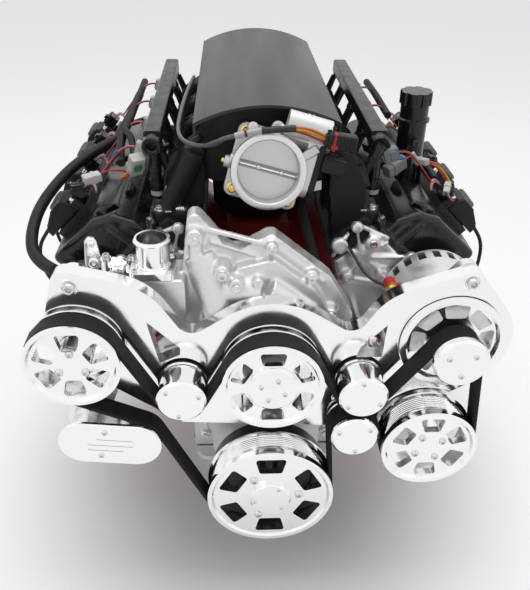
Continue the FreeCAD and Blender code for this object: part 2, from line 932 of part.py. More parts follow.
def cover_outline(inset):
    low = "cover_round - skirt_depth"
    return [("cover_low_half - cover_round", low, f"cover_round - {inset}", 1),
            ("cover_top_half", "cover_top", f"cover_crown_r - {inset}", 1),
            ("-cover_top_half", "cover_top", f"cover_crown_r - {inset}", 1),
            ("cover_round - cover_low_half", low, f"cover_round - {inset}", 1)]


front = body("front_cover")
pad(front, loop(sketch(front, lift="block_len"), cover_outline("0")), "cover_deep")
pocket(front, loop(sketch(front, lift="block_len"), cover_outline("cover_wall")), "cover_deep - cover_wall")
pocket(front, circle(sketch(front), "0", "0", "hub_r + running_fit"))

rear = body("rear_cover")
rear_outline = corners("-cover_low_half", "cover_low_half", "-skirt_depth", "rear_cover_top", "cover_round")
pad(rear, loop(sketch(rear), rear_outline), "rear_cover_deep", back=True)
pocket(rear, circle(sketch(rear), "0", "0", "flange_r + running_fit"))

# Oil pan: rail, tapered sump and the pad of the oil filter


pan = body("oil_pan")
rail = corners("-skirt_half", "skirt_half", "-block_len - cover_deep", "rear_cover_deep", "cover_round")
pad(pan, loop(sketch(pan, "XY_Plane", "-skirt_depth"), rail), "pan_rail_thick", back=True)
sump = corners("-sump_half", "sump_half", behind("sump_front"), "-sump_rear", "sump_corner")
pad(pan, loop(sketch(pan, "XY_Plane", "-skirt_depth - pan_rail_thick"), sump),
    "pan_bottom - skirt_depth - pan_rail_thick", back=True, draft="-pan_draft")
hollow = corners("pan_wall - sump_half", "sump_half - pan_wall", behind("sump_front + pan_wall"),
                 "-sump_rear - pan_wall", "sump_corner - pan_wall")
pocket(pan, loop(sketch(pan, "XY_Plane", "-skirt_depth"), hollow), "pan_bottom - skirt_depth - pan_floor",
       back=True, draft="-pan_draft")
filter_pad = [("sump_half - pan_wall", behind("filter_s - filter_r")), ("filter_x", behind("filter_s - filter_r")),
              ("filter_x + filter_r*0.7", behind("filter_s - filter_r*0.7")),
              ("filter_x + filter_r", behind("filter_s")),
              ("filter_x + filter_r*0.7", behind("filter_s + filter_r*0.7")),
              ("filter_x", behind("filter_s + filter_r")), ("sump_half - pan_wall", behind("filter_s + filter_r"))]
pad(pan, polygon(sketch(pan, "XY_Plane", "-skirt_depth - pan_rail_thick"), filter_pad), "filter_pad_thick", back=True)

cartridge = body("oil_filter")
top = "-skirt_depth - pan_rail_thick - filter_pad_thick"
can = sketch(cartridge, "XY_Plane", top)
pad(cartridge, circle(can, "filter_x", behind("filter_s"), "filter_r - 1"), "filter_len", back=True)
soften(cartridge, "8", lambda c, b: b.ZLength < 0.01 and c.z < val(top) - 1)

# Cylinder heads and their gaskets

deck = "deck_height + gasket_thick"
roof = f"{deck} + head_tall"
gaskets = []
for side, side_name, first in ((1, "right", "bore_first_right"), (-1, "left", "bore_first_left")):
    sheet_piece = bank_piece("head_gasket", side, kept=False)
    flat = sketch(sheet_piece, lift="block_len - head_end")
    polygon(flat, [(f"-{side}*head_inner", "deck_height"), (f"{side}*head_outer", "deck_height"),
                   (f"{side}*head_outer", deck), (f"-{side}*head_inner", deck)])
    pad(sheet_piece, flat, "head_end - head_start")
    holes = sketch(sheet_piece, "XY_Plane")
    for k in range(4):
        circle(holes, "0", behind(f"{first} + bore_pitch*{k}"), "bore_r + 1")
    pocket(sheet_piece, holes)
    gaskets.append(sheet_piece)

    head = bank_piece(f"cylinder_head_{side_name}", side)
    outline = [("-head_inner", deck), ("head_outer", deck), ("exhaust_face", f"{deck} + exhaust_low"),
               ("exhaust_face", f"{deck} + exhaust_high"), ("rail_outer", roof), ("-rail_inner", roof),
               ("-intake_high_in", f"{deck} + intake_high"), ("-intake_low_in", f"{deck} + intake_low")]
    flat = sketch(head, lift="block_len - head_end")
    pad(head, polygon(flat, [(f"{side}*({x})", z) for x, z in outline]), "head_end - head_start")
    ports = sketch(head, "YZ_Plane", f"{side}*exhaust_face")
    chambers = sketch(head, "XY_Plane", deck)
    for k in range(4):
        middle = behind(f"{first} + bore_pitch*{k}")
        loop(ports, corners(f"{middle} - exhaust_port_w/2", f"{middle} + exhaust_port_w/2",
                            f"{deck} + exhaust_low + 8", f"{deck} + exhaust_low + 8 + exhaust_port_tall", "8"))
        circle(chambers, "0", middle, "chamber_r")
    pocket(head, ports, "exhaust_port_deep", back=side > 0)
    pocket(head, chambers, "chamber_deep", draft="-30")
group(gaskets, "head_gaskets")

# Valve covers: drawn shells with a bevel towards the intake


def rocker_outline(side, inset):
    points = [("inset - rocker_inner", "0"), ("inset - rocker_inner", "rocker_step"),
              ("inset - rocker_bevel_in", "rocker_bevel - inset/2"), ("-rocker_crown", "rocker_tall - 3 - inset"),
              ("rocker_outer - inset", "rocker_tall - inset"), ("rocker_outer - inset", "0")]
    points = [(x.replace("inset", f"({inset})"), z.replace("inset", f"({inset})")) for x, z in points]
    return [(f"{side}*({x})", f"{roof} + {z}") for x, z in points]


rocker_forms = {}
for side, side_name in ((1, "right"), (-1, "left")):
    form = bank_piece("rocker_form", side, kept=False)
    pad(form, polygon(sketch(form, lift="block_len - rocker_end"), rocker_outline(side, "0")),
        "rocker_end - rocker_start")
    step = val(roof) + val("rocker_step")
    soften(form, "rocker_round", lambda c, b: b.YLength < 0.01 and c.z > step or b.YLength > 1 and c.z > step)
    cavity = bank_piece("rocker_cavity", side, kept=False)
    pad(cavity, polygon(sketch(cavity, lift="block_len - rocker_end + rocker_wall"),
                        rocker_outline(side, "rocker_wall")), "rocker_end - rocker_start - rocker_wall*2")
    rocker_forms[side] = form
    pockets = []
    pillars = []
    for k in range(3):
        # A deep pocket in the bevel round each inner bolt
        spot = behind(f"cover_bolt_first + cover_bolt_apart*{k}")
        floor_x, floor_z = bank(side, "cover_bolt_across", f"{roof} + cover_pocket_floor")
        foot_x, foot_z = bank(side, "cover_bolt_across", roof)
        pockets.append(cylinder("cover_pocket_r", "rocker_tall", floor_x, spot, floor_z, (0, side, 0), "bank_angle"))
        pillars.append(cylinder("cover_pocket_r + rocker_wall", "rocker_tall", foot_x, spot, foot_z,
                                (0, side, 0), "bank_angle"))
    room = cut(cavity, fuse(pillars))
    cut(form, fuse([room] + pockets), f"valve_cover_{side_name}")

# Intake manifold: plenum, eight runners, head flanges, throttle neck and the arches that carry the cover

manifold_parts = []
plenum = body("plenum", kept=False)
pad(plenum, loop(sketch(plenum, lift="block_len - plenum_end"),
                 corners("-plenum_half", "plenum_half", "plenum_low", "plenum_high", "plenum_corner")),
    "plenum_end - plenum_start")
inner_arch = ("arch_half - arch_thick - soft_gap", "plenum_high - 20", "arch_edge - arch_thick",
              "arch_crown - arch_thick - soft_gap")
for start in ("plenum_start + arch_rib", "plenum_end"):
    pad(plenum, arched(sketch(plenum, lift=f"block_len - ({start})"), *inner_arch), "arch_rib")
manifold_parts.append(plenum)

for side in (1, -1):
    low = bank(side, "-intake_low_in", f"{deck} + intake_low")
    high = bank(side, "-intake_high_in", f"{deck} + intake_high")
    flange = body("intake_flange", kept=False)
    raised_low = bank(side, "-intake_low_in - flange_thick", f"{deck} + intake_low")
    raised_high = bank(side, "-intake_high_in - flange_thick", f"{deck} + intake_high")
    pad(flange, polygon(sketch(flange, lift="block_len - flange_end"), [low, high, raised_high, raised_low]),
        "flange_end - flange_start")
    manifold_parts.append(flange)
for side, first, k in bores:
    low = bank(side, "-intake_low_in - flange_thick/2", f"{deck} + intake_low")
    high = bank(side, "-intake_high_in - flange_thick/2", f"{deck} + intake_high")
    runner = body("intake_runner", kept=False)
    outline = [(f"{side}*plenum_half", "plenum_low + plenum_corner"), between(low, high, "0.1"),
               between(low, high, "0.9"), (f"{side}*runner_bend_x", "runner_bend_z"),
               (f"{side}*runner_out_x", "runner_out_z"), (f"{side}*plenum_half", "plenum_high - 6")]
    middle = f"{first} + bore_pitch*{k}"
    pad(runner, polygon(sketch(runner, lift=f"block_len - ({middle}) - runner_w/2"), outline), "runner_w")
    soften(runner, "runner_round",
           lambda c, b: b.YLength > 1 and abs(c.x) > val("plenum_half") and c.z > val("runner_bend_z") - 1)
    manifold_parts.append(runner)

# The throttle's frame: its axis tips up at the front and it is rolled with its shaft
tip = FreeCAD.Rotation(Vector(1, 0, 0), -val("throttle_tilt"))
roll = FreeCAD.Rotation(Vector(0, 1, 0), val("blade_lean"))


def on_throttle(item):
    item.Placement = FreeCAD.Placement(Vector(0, val(behind("throttle_y")), val("throttle_z")), tip * roll)
    item.setExpression(".Placement.Base.y", bound(behind("throttle_y")))
    item.setExpression(".Placement.Base.z", bound("throttle_z"))
    return item


def throttle_disc(made, radius, start, length):
    # A disc about the throttle's axis, from start behind its front face
    return pad(made, circle(sketch(made, lift=f"-({start}) - ({length})"), "0", "0", radius), length)


neck = body("intake_neck", kept=False)
throttle_disc(neck, "throttle_barrel + 2", "throttle_deep", "neck_reach")
on_throttle(neck)
manifold_parts.append(neck)
neck_bore = body("neck_bore", kept=False)
throttle_disc(neck_bore, "throttle_bore", "throttle_deep - 10", "neck_bore_deep")
on_throttle(neck_bore)

injectors = []
injector_seats = []
for side, first, k in bores:
    at = (f"{side}*rail_x", behind(f"{first} + bore_pitch*{k}"), "rail_z")
    for bucket, radius, length in ((injectors, "injector_r", "injector_len"),
                                   (injector_seats, "injector_r + running_fit", "injector_len + running_fit")):
        bucket.append(cylinder(radius, length, *at, (0, side, 0), "180 + injector_lean"))
cut(fuse(manifold_parts), fuse([neck_bore] + injector_seats), "intake_manifold")

rails = []
for side in (1, -1):
    bar = body("fuel_bar", kept=False)
    section = corners("rail_x - rail_half", "rail_x + rail_half", "rail_z - rail_half", "rail_z + rail_half",
                      "rail_corner")
    if side < 0:
        section = corners("-rail_x - rail_half", "rail_half - rail_x", "rail_z - rail_half", "rail_z + rail_half",
                          "rail_corner")
    pad(bar, loop(sketch(bar, lift="block_len - rail_back"), section), "rail_back - rail_front")
    rails.append(bar)
group(rails, "fuel_rails")
group([cut(item, rails[0] if bores[i][0] > 0 else rails[1]) for i, item in enumerate(injectors)], "fuel_injectors")

# Arched sheet cover over the plenum

arch = body("manifold_cover")
low = "arch_edge - arch_lip"
pad(arch, arched(sketch(arch, lift="block_len - arch_end"), "arch_half", low, "arch_edge", "arch_crown"),
    "arch_end - arch_start")
pocket(arch, arched(sketch(arch), "arch_half - arch_thick", low, "arch_edge - arch_thick", "arch_crown - arch_thick"))

# Throttle body: barrel, flange, shaft bosses, motor and gear housing

barrel = body("throttle_barrel", kept=False)
turned(barrel, [("0", "0"), ("throttle_ring - 2", "0"), ("throttle_ring", "-2"), ("throttle_ring", "-throttle_lip"),
                ("throttle_barrel", "-throttle_lip - 4"), ("throttle_barrel - barrel_draft", "-throttle_deep"),
                ("0", "-throttle_deep")], below=True)
lugs = corners("-throttle_lug_at - throttle_lug_r", "throttle_lug_at + throttle_lug_r",
               "-throttle_lug_at - throttle_lug_r", "throttle_lug_at + throttle_lug_r", "throttle_lug_r")
pad(barrel, loop(sketch(barrel, lift="-throttle_deep"), lugs), "throttle_flange")
boss = sketch(barrel, "YZ_Plane", "-blade_shaft_left")
pad(barrel, circle(boss, "blade_at", "0", "blade_boss_r"), "blade_shaft_left + throttle_bore - 4")

gear_case = body("throttle_gear_case", kept=False)
gear_outline = [("blade_at", "gear_low", "gear_low_r", 1), ("motor_y", "motor_z", "gear_high_r", 1)]
pad(gear_case, loop(sketch(gear_case, "YZ_Plane", "gear_in"), gear_outline), "gear_thick")

motor = body("throttle_motor", kept=False)
pad(motor, circle(sketch(motor, "YZ_Plane", "motor_x"), "motor_y", "motor_z", "motor_r"), "motor_len")

throat = body("throttle_throat", kept=False)
throttle_disc(throat, "throttle_bore", "-1", "throttle_deep + 2")
bearing = body("blade_bearing", kept=False)
pad(bearing, circle(sketch(bearing, "YZ_Plane", "3 - blade_shaft_left"), "blade_at", "0",
                    "blade_shaft_r + running_fit"), "blade_shaft_left + blade_shaft_right - 4")
for piece in (barrel, gear_case, motor, throat, bearing):
    on_throttle(piece)
cut(fuse([barrel, gear_case, motor]), fuse([throat, bearing]), "throttle_body")

gear_cover = body("throttle_gear_cover")
pad(gear_cover, loop(sketch(gear_cover, "YZ_Plane", "gear_in + gear_thick"), gear_outline), "gear_cover_thick")
pocket(gear_cover, circle(sketch(gear_cover, "YZ_Plane", "gear_in"), "motor_y", "motor_z", "motor_r + running_fit"))
on_throttle(gear_cover)

plug_box = body("throttle_connector")
shell = corners("plug_box_y - plug_box_w/2", "plug_box_y + plug_box_w/2", "plug_box_z",
                "plug_box_z + plug_box_tall", "3")
pad(plug_box, loop(sketch(plug_box, "YZ_Plane", "gear_in + gear_thick + gear_cover_thick"), shell), "plug_box_len")
on_throttle(plug_box)

# Throttle blade in the slot of its shaft

blade_disc = body("blade_disc", kept=False)
throttle_disc(blade_disc, "throttle_bore - blade_gap", "blade_at - blade_thick/2", "blade_thick")
blade_shaft = body("blade_shaft", kept=False)
rod = sketch(blade_shaft, "YZ_Plane", "4 - blade_shaft_left")
pad(blade_shaft, circle(rod, "blade_at", "0", "blade_shaft_r"), "blade_shaft_left + blade_shaft_right - 6")
slot = corners("blade_at - blade_thick/2 - running_fit", "blade_at + blade_thick/2 + running_fit",
               "-blade_shaft_r - 1", "blade_shaft_r + 1", "0.2")
slot_sketch = sketch(blade_shaft, "YZ_Plane", "blade_gap - throttle_bore")
pocket(blade_shaft, loop(slot_sketch, slot), "(throttle_bore - blade_gap)*2")
on_throttle(blade_disc)
on_throttle(blade_shaft)
group([blade_disc, blade_shaft], "throttle_blade")

# Ignition: a rail, four coils and four plug leads on each bank

crown = f"{roof} + rocker_tall"
leads = []
for side, side_name, first in ((1, "right", "bore_first_right"), (-1, "left", "bore_first_left")):
    coils = []
    for k in range(4):
        coil = bank_piece("coil", side, kept=False)
        foot = f"{crown} + coil_rail_thick"
        outline = [("-coil_in", foot), ("-coil_in", f"{foot} + coil_foot"), ("14 - coil_in", f"{foot} + coil_tall - 4"),
                   ("-12", f"{foot} + coil_tall"), ("6", f"{foot} + coil_tall - 4"),
                   ("coil_out", f"{foot} + coil_foot + 2"), ("coil_out", foot)]
        middle = f"coil_first + bore_pitch*{k}"
        flat = sketch(coil, lift=f"block_len - ({middle}) - coil_w/2")
        pad(coil, polygon(flat, [(f"{side}*({x})", z) for x, z in outline]), "coil_w")
        coils.append(coil)
        at = behind(f"{first} + bore_pitch*{k} + boot_shift")
        x, z = bank(side, "exhaust_face", f"{deck} + boot_up")
        leads.append(cylinder("boot_r", "boot_len", x, at, z, (0, side, 0), "90 + bank_angle"))
    group(coils, f"ignition_coils_{side_name}")

coil_rails = []
for side in (1, -1):
    bar = bank_piece("coil_rail", side, kept=False)
    seat_in = between((f"-{side}*rocker_crown", f"{crown} - 3"), (f"{side}*rocker_outer", crown), "0.15")
    seat_out = between((f"-{side}*rocker_crown", f"{crown} - 3"), (f"{side}*rocker_outer", crown), "0.9")
    flat = sketch(bar, lift="block_len - coil_rail_end")
    polygon(flat, [seat_in, (seat_in[0], f"{crown} + coil_rail_thick"), (seat_out[0], f"{crown} + coil_rail_thick"),
                   seat_out])
    pad(bar, flat, "coil_rail_end - coil_rail_start")
    coil_rails.append(bar)
group(coil_rails, "coil_rails")

# Oil filler neck on the right cover, its cap, and the dipstick in its tube

neck_form = cylinder("filler_r", "filler_top - filler_foot", "filler_x", behind("filler_s"), "filler_foot")
well = cylinder("filler_bore", "filler_bore_deep", "filler_x", behind("filler_s"), "filler_top - filler_bore_deep")
cut(neck_form, fuse([rocker_forms[1], well]), "oil_filler_neck")

cap = body("oil_filler_cap")
pad(cap, circle(sketch(cap, "XY_Plane"), "0", "0", "cap_r"), "cap_tall")
notch = pocket(cap, circle(sketch(cap, "XY_Plane"), "0", "cap_r + cap_notch_r*0.6", "cap_notch_r"))
polar(cap, notch, 8, "Z_Axis")
stem = sketch(cap, "XY_Plane")
pad(cap, circle(stem, "0", "0", "filler_bore - running_fit"), "cap_plug_deep", back=True)
place(cap, "filler_x", behind("filler_s"), "filler_top")

stick_at = behind("stick_s")
tube_wall = cylinder("tube_r", "stick_top - stick_low", stick_x, stick_at, stick_z, (0, -1, 0), "bank_angle")
tube_hole = cylinder("tube_bore", "stick_top - stick_low", stick_x, stick_at, stick_z, (0, -1, 0), "bank_angle")
cut(tube_wall, tube_hole, "dipstick_tube")
rod = cylinder("dipstick_r", "stick_top - stick_low + 2", stick_x, stick_at, stick_z, (0, -1, 0), "bank_angle")
collar_x, collar_z = bank(-1, "stick_across", "stick_top")
collar = cylinder("tube_r + 1", "6", collar_x, stick_at, collar_z, (0, -1, 0), "bank_angle")
ring_x, ring_z = bank(-1, "stick_across", "stick_top + 3 + stick_ring_r")
handle = along_y("stick_ring_r", "dipstick_r*2", ring_x, f"{stick_at} - dipstick_r", ring_z)
handle_hole = along_y("stick_ring_r - 4", "dipstick_r*2", ring_x, f"{stick_at} - dipstick_r", ring_z)
fuse([rod, collar, cut(handle, handle_hole)], "dipstick")

# Pulleys. Each is drawn as radius against distance forward, then turned.


def rib_grooves(drum):
    # The grooves that the belt's ribs run in, from the back of the rim to its front
    points = []
    for k in range(round(val("belt_ribs"))):
        start = f"belt_mid - belt_width/2 + belt_width/belt_ribs*{k}"
        points += [(drum, f"{start} + rib_land/2"), (f"{drum} - rib_depth", f"{start} + belt_width/belt_ribs/2"),
                   (drum, f"{start} + belt_width/belt_ribs - rib_land/2")]
    return points


def rim_profile(rim, front, web_back, hub, hub_back, shaft="0", shaft_back=None):
    inner = f"{rim} - rim_lip - rim_wall"
    points = [("0", shaft_back), (shaft, shaft_back), (shaft, hub_back)] if shaft_back else [("0", hub_back)]
    points += [(hub, hub_back), (hub, web_back), (inner, web_back), (inner, "rim_back"), (rim, "rim_back"),
               (rim, "rim_back + 3"), (f"{rim} - rim_lip", "rim_back + 4")]
    points += rib_grooves(f"{rim} - rim_lip")
    points += [(f"{rim} - rim_lip", "belt_mid + 15"), (rim, "belt_mid + 16"), (rim, front), (f"{rim} - 6", front),
               (f"{rim} - 9", f"{front} - hub_step"), ("0", f"{front} - hub_step")]
    return points


def slots(made, count, inner, outer):
    # Openings through the web, wider towards the rim
    corner = "slot_corner"
    outline = [(f"{r}*sin({turn}*slot_spread)", f"{r}*cos(slot_spread)", corner, 1)
               for r, turn in ((f"({outer} - {corner})", 1), (f"({outer} - {corner})", -1),
                               (f"({inner} + {corner})", -1), (f"({inner} + {corner})", 1))]
    opening = pocket(made, loop(sketch(made), outline))
    polar(made, opening, count)


def pulley(name, x, z, rim, front, web_back, hub, hub_back, shaft="0", shaft_back=None, openings=None, kept=True):
    made = body(name, kept)
    turned(made, rim_profile(rim, front, web_back, hub, hub_back, shaft, shaft_back))
    if openings:
        slots(made, *openings)
    return place(made, x, "-block_len", z)


crank_wheel = pulley("crank_pulley", "0", "0", "crank_rim", "crank_front", "crank_front - 14", "30", "rim_back",
                     openings=(6, "crank_window_in", "crank_rim - 15"))
crank_cap = body("crank_pulley_cap")
turned(crank_cap, [("0", "crank_front - hub_step"), ("30", "crank_front - hub_step"), ("30", "crank_front + 2"),
                   ("28", "crank_front + 4"), ("0", "crank_front + 4")])
place(crank_cap, "0", "-block_len", "0")

pump_wheel = pulley("pump_wheel", "0", "pump_z", "pump_rim", "pump_front", "pump_front - 12", "22", "snout_out + 1",
                    "shaft_r", "pump_shaft_back", (6, "pump_window_in", "pump_rim - 11"), kept=False)
pump_cap = body("pump_cap", kept=False)
turned(pump_cap, [("0", "pump_front - hub_step"), ("pump_cap_r", "pump_front - hub_step"),
                  ("pump_cap_r", "pump_front"), ("pump_cap_r - 3", "pump_front + 2"), ("0", "pump_front + 6")])
place(pump_cap, "0", "-block_len", "pump_z")
group([pump_wheel, pump_cap], "water_pump_pulley")

pulley("compressor_pulley", "air_x", "air_z", "air_rim", "air_front", "air_front - 12", "air_hub_r",
       "air_nose_front + 2.5", "shaft_r", "air_body_front", (6, "air_window_in", "air_rim - 13"))
pulley("steering_pulley", "steer_x", "steer_z", "steer_rim", "steer_front", "steer_front - 14", "22",
       "plate_back + 3", "shaft_r", "steer_body_back + 20", (6, "steer_window_in", "steer_rim - 13"))

charge_wheel = body("alternator_pulley")
turned(charge_wheel, [("0", "ear_back"), ("charge_shaft_r", "ear_back"), ("charge_shaft_r", "rim_back + 3.5"),
                      ("charge_rim + 4", "rim_back + 3.5"), ("charge_rim", "rim_back + 4"),
                      *rib_grooves("charge_rim"), ("charge_rim", "belt_mid + 17"), ("charge_cap_r", "belt_mid + 18"),
                      ("charge_cap_r", "charge_front - 3"), ("charge_cap_r - 3", "charge_front"), ("0", "charge_front")])
place(charge_wheel, "charge_x", "-block_len", "charge_z")

for name, x, z in (("idler_pulley_left", "-idler_x", "idler_z"), ("idler_pulley_right", "idler_x", "idler_z"),
                   ("idler_pulley_lower", "low_idler_x", "low_idler_z")):
    wheel = body(name)
    turned(wheel, [("post_r + running_fit", "idler_back"), ("idler_cap_r", "idler_back"),
                   ("idler_cap_r", "idler_back + 4"), ("idler_rim", "idler_back + 5"), ("idler_rim", "belt_mid + 17"),
                   ("idler_cap_r", "belt_mid + 18"), ("idler_cap_r", "idler_front - 3"),
                   ("idler_cap_r - 3", "idler_front"), ("0", "idler_front"), ("0", "post_front + 1"),
                   ("post_r + running_fit", "post_front + 1")])
    place(wheel, x, "-block_len", z)

# Drive belt: one closed band that wraps every pulley of the drive

drive = [("0", "0", "crank_rim - rim_lip", 1), ("low_idler_x", "low_idler_z", "idler_rim", -1),
         ("steer_x", "steer_z", "steer_rim - rim_lip", 1), ("charge_x", "charge_z", "charge_rim", 1),
         ("idler_x", "idler_z", "idler_rim", -1), ("0", "pump_z", "pump_rim - rim_lip", 1),
         ("-idler_x", "idler_z", "idler_rim", -1), ("air_x", "air_z", "air_rim - rim_lip", 1),
         ("tension_x", "tension_z", "tension_rim", -1)]
belt = body("drive_belt")
band = sketch(belt, lift="block_len + belt_mid - belt_width/2")
loop(band, [(x, z, f"{r} + belt_gap" + (" + belt_thick" if turn > 0 else ""), turn) for x, z, r, turn in drive])
loop(band, [(x, z, f"{r} + belt_gap" + (" + belt_thick" if turn < 0 else ""), turn) for x, z, r, turn in drive])
pad(belt, band, "belt_width")

# Accessory bracket: one thick plate with an ear at each end, on standoffs

plate = body("accessory_bracket")
plate_outline = [("charge_x", "charge_z", "plate_ring_r", 1), ("ear_x + 2", "ear_z - 2", "ear_r - 1", 1),
                 ("200", "258", "75", 1), ("plate_valley_x", "plate_valley_z", "plate_valley_r", -1),
                 ("0", "pump_z", "plate_hump_r", 1), ("-plate_valley_x", "plate_valley_z", "plate_valley_r", -1),
                 ("-220", "258", "92", 1), ("-ear_x - 6", "ear_z + 3", "ear_r + 1", 1), ("-262", "262", "40", 1),
                 ("-125", "118", "8", 1), ("low_idler_x + 2", "low_idler_z - 1.5", "20", 1), ("228", "158", "16", 1)]
pad(plate, loop(sketch(plate, lift="block_len + plate_back"), plate_outline), "plate_front - plate_back")
holes = sketch(plate)
circle(holes, "charge_x", "charge_z", "charge_hole_r")
circle(holes, "0", "pump_z", "hump_hole_r")
circle(holes, "air_x", "air_z", "air_hole_r")
circle(holes, "ear_x", "ear_z", "bolt_hole_r")
circle(holes, "-ear_x", "ear_z", "bolt_hole_r")
for window in ([(-165, 287), (-123, 243), (-124, 232), (-152, 219), (-163, 274)],
               [(154, 276), (120, 239), (116, 223), (152, 223), (153, 260)]):
    polygon(holes, window[::-1])
pocket(plate, holes)

posts = []
for x, z, front_end, back_end in (("standoff_left_x", "standoff_left_z", "plate_back", "head_start"),
                                  ("standoff_right_x", "standoff_right_z", "plate_back", "head_start"),
                                  ("-standoff_low_x", "standoff_low_z", "plate_back", "0"),
                                  ("standoff_low_x", "standoff_low_z", "plate_back", "0")):
    posts.append(along_y("standoff_r", f"{front_end} + {back_end}", x, ahead(front_end), z))
for x, z in (("-idler_x", "idler_z"), ("idler_x", "idler_z"), ("low_idler_x", "low_idler_z")):
    posts.append(along_y("post_r", "post_front - plate_front", x, ahead("post_front"), z))
group(posts, "bracket_standoffs")

# Water pump: a casting with arched passages, its snout, its feet and the outlet box at the left

pump = body("water_pump")
casting = [("-100", "398", "11", 1), ("-46", "372", "16", -1), ("0", "366", "12", 1), ("75", "304", "12", 1),
           ("105", "250", "14", 1), ("60", "175", "20", 1), ("-60", "175", "20", 1), ("-118", "230", "14", 1)]
pad(pump, loop(sketch(pump, lift="block_len + casting_back"), casting[::-1]), "casting_front - casting_back")
passages = [("-84", "250", "12", 1), ("-46", "196", "14", 1), ("46", "196", "14", 1), ("78", "250", "12", 1),
            ("52", "296", "12", 1), ("0", "338", "12", 1), ("-40", "330", "10", 1)]
pad(pump, loop(sketch(pump, lift="block_len + casting_front"), passages), "casting_pad_front - casting_front")
pad(pump, circle(sketch(pump, lift="block_len + casting_front"), "0", "pump_z", "pump_snout_r"),
    "snout_out - casting_front")
outlet = corners("outlet_left", "outlet_right", "outlet_low", "neck_base - neck_flange", "6")
pad(pump, loop(sketch(pump, lift="block_len + outlet_back"), outlet), "outlet_front - outlet_back")
feet = sketch(pump, lift="block_len")
for side in (1, -1):
    circle(feet, f"{side}*foot_x", "foot_z", "foot_r")
pad(pump, feet, "casting_back")
pocket(pump, circle(sketch(pump, lift="block_len + pump_shaft_back - 1"), "0", "pump_z", "shaft_r + running_fit"),
       "snout_out - pump_shaft_back + 1")
pocket(pump, circle(sketch(pump, "XY_Plane", "outlet_low + 20"), "neck_x", ahead("neck_y"), "neck_r - neck_wall"),
       "neck_base - neck_flange - outlet_low - 20")

neck_pipe = body("coolant_neck")
flange = corners("neck_x - neck_half", "neck_x + neck_half", "-block_len - neck_y - neck_half",
                 "-block_len - neck_y + neck_half", "8")
pad(neck_pipe, loop(sketch(neck_pipe, "XY_Plane", "neck_base - neck_flange"), flange), "neck_flange")
pad(neck_pipe, circle(sketch(neck_pipe, "XY_Plane", "neck_base"), "neck_x", ahead("neck_y"), "neck_r"),
    "neck_top - neck_base")
pocket(neck_pipe, circle(sketch(neck_pipe, "XY_Plane"), "neck_x", ahead("neck_y"), "neck_r - neck_wall"))

# Compressor, alternator and steering pump, each with an ear or a flange on the back of the plate


def ear(made, discs):
    pad(made, loop(sketch(made, lift="ear_back"), discs), "ear_thick")
    return made


def shaft_hole(made, radius, start, end):
    return pocket(made, circle(sketch(made, lift=start), "0", "0", f"{radius} + running_fit"), f"{end} - ({start})")


air = body("compressor_body")
turned(air, [("0", "air_body_back"), ("air_body_r", "air_body_back"), ("air_body_r", "air_body_front"),
             ("air_step_r", "air_body_front"), ("air_step_r", "air_step_front"), ("air_flange_r", "air_step_front"),
             ("air_flange_r", "plate_back - soft_gap"), ("air_hub_r", "plate_back - soft_gap"),
             ("air_hub_r", "air_nose_front"), ("0", "air_nose_front")])
ear(air, [("0", "0", "air_flange_r", 1), ("-ear_x - air_x", "ear_z - air_z", "ear_r - 1", 1)])
shaft_hole(air, "shaft_r", "air_body_front - 1", "air_nose_front")
place(air, "air_x", "-block_len", "air_z")

charger = body("alternator_housing")
turned(charger, [("0", "charge_body_back"), ("charge_body_r - 6", "charge_body_back"),
                 ("charge_body_r", "charge_body_back + 8"), ("charge_body_r", "charge_mouth"), ("0", "charge_mouth")])
ear(charger, [("0", "0", "charge_body_r - 4", 1), ("ear_x - charge_x", "ear_z - charge_z", "ear_r - 1", 1)])
for vent_at in ("vent_front_at", "vent_back_at"):
    slot = [("-vent_w/2", "charge_body_r - vent_deep"), ("vent_w/2", "charge_body_r - vent_deep"),
            ("vent_w/2", "charge_body_r + 5"), ("-vent_w/2", "charge_body_r + 5")]
    vent = pocket(charger, polygon(sketch(charger, lift=vent_at), slot), "vent_len")
    polar(charger, vent, round(val("vents")))
shaft_hole(charger, "charge_shaft_r", "ear_back - 1", "charge_mouth")
place(charger, "charge_x", "-block_len", "charge_z")

frame = body("alternator_front_frame")
turned(frame, [("charge_shaft_r + running_fit", "charge_mouth"), ("charge_frame_r", "charge_mouth"),
               ("charge_frame_r", "charge_face"), ("charge_frame_r - 8", "charge_face"),
               ("charge_frame_r - 11", "charge_face - charge_dish"),
               ("charge_shaft_r + running_fit", "charge_face - charge_dish")])
slots(frame, 8, "38", "58")
place(frame, "charge_x", "-block_len", "charge_z")

steer = body("steering_pump")
turned(steer, [("0", "steer_body_back"), ("steer_body_r", "steer_body_back"), ("steer_body_r", "ear_back"),
               ("0", "ear_back")])
ear(steer, [("0", "0", "steer_body_r + 2", 1), ("228 - steer_x", "158 - steer_z", "15", 1),
            ("low_idler_x - steer_x", "low_idler_z - steer_z", "18", 1)])
shaft_hole(steer, "shaft_r", "steer_body_back + 19", "plate_back")
place(steer, "steer_x", "-block_len", "steer_z")

# Tensioner: spring case on the plate's back, arm with the pulley's pin, pulley and cover

spring_case = body("tensioner_base")
pad(spring_case, circle(sketch(spring_case, lift="block_len + ear_back"), "tension_pivot_x", "tension_pivot_z",
                        "spring_case_r"), "tension_arm_back - 0.5 - ear_back")
pad(spring_case, loop(sketch(spring_case, lift="block_len + ear_back"),
                      [("tension_pivot_x", "tension_pivot_z", "24", 1), ("-215", "198", "14", 1)]), "ear_thick")

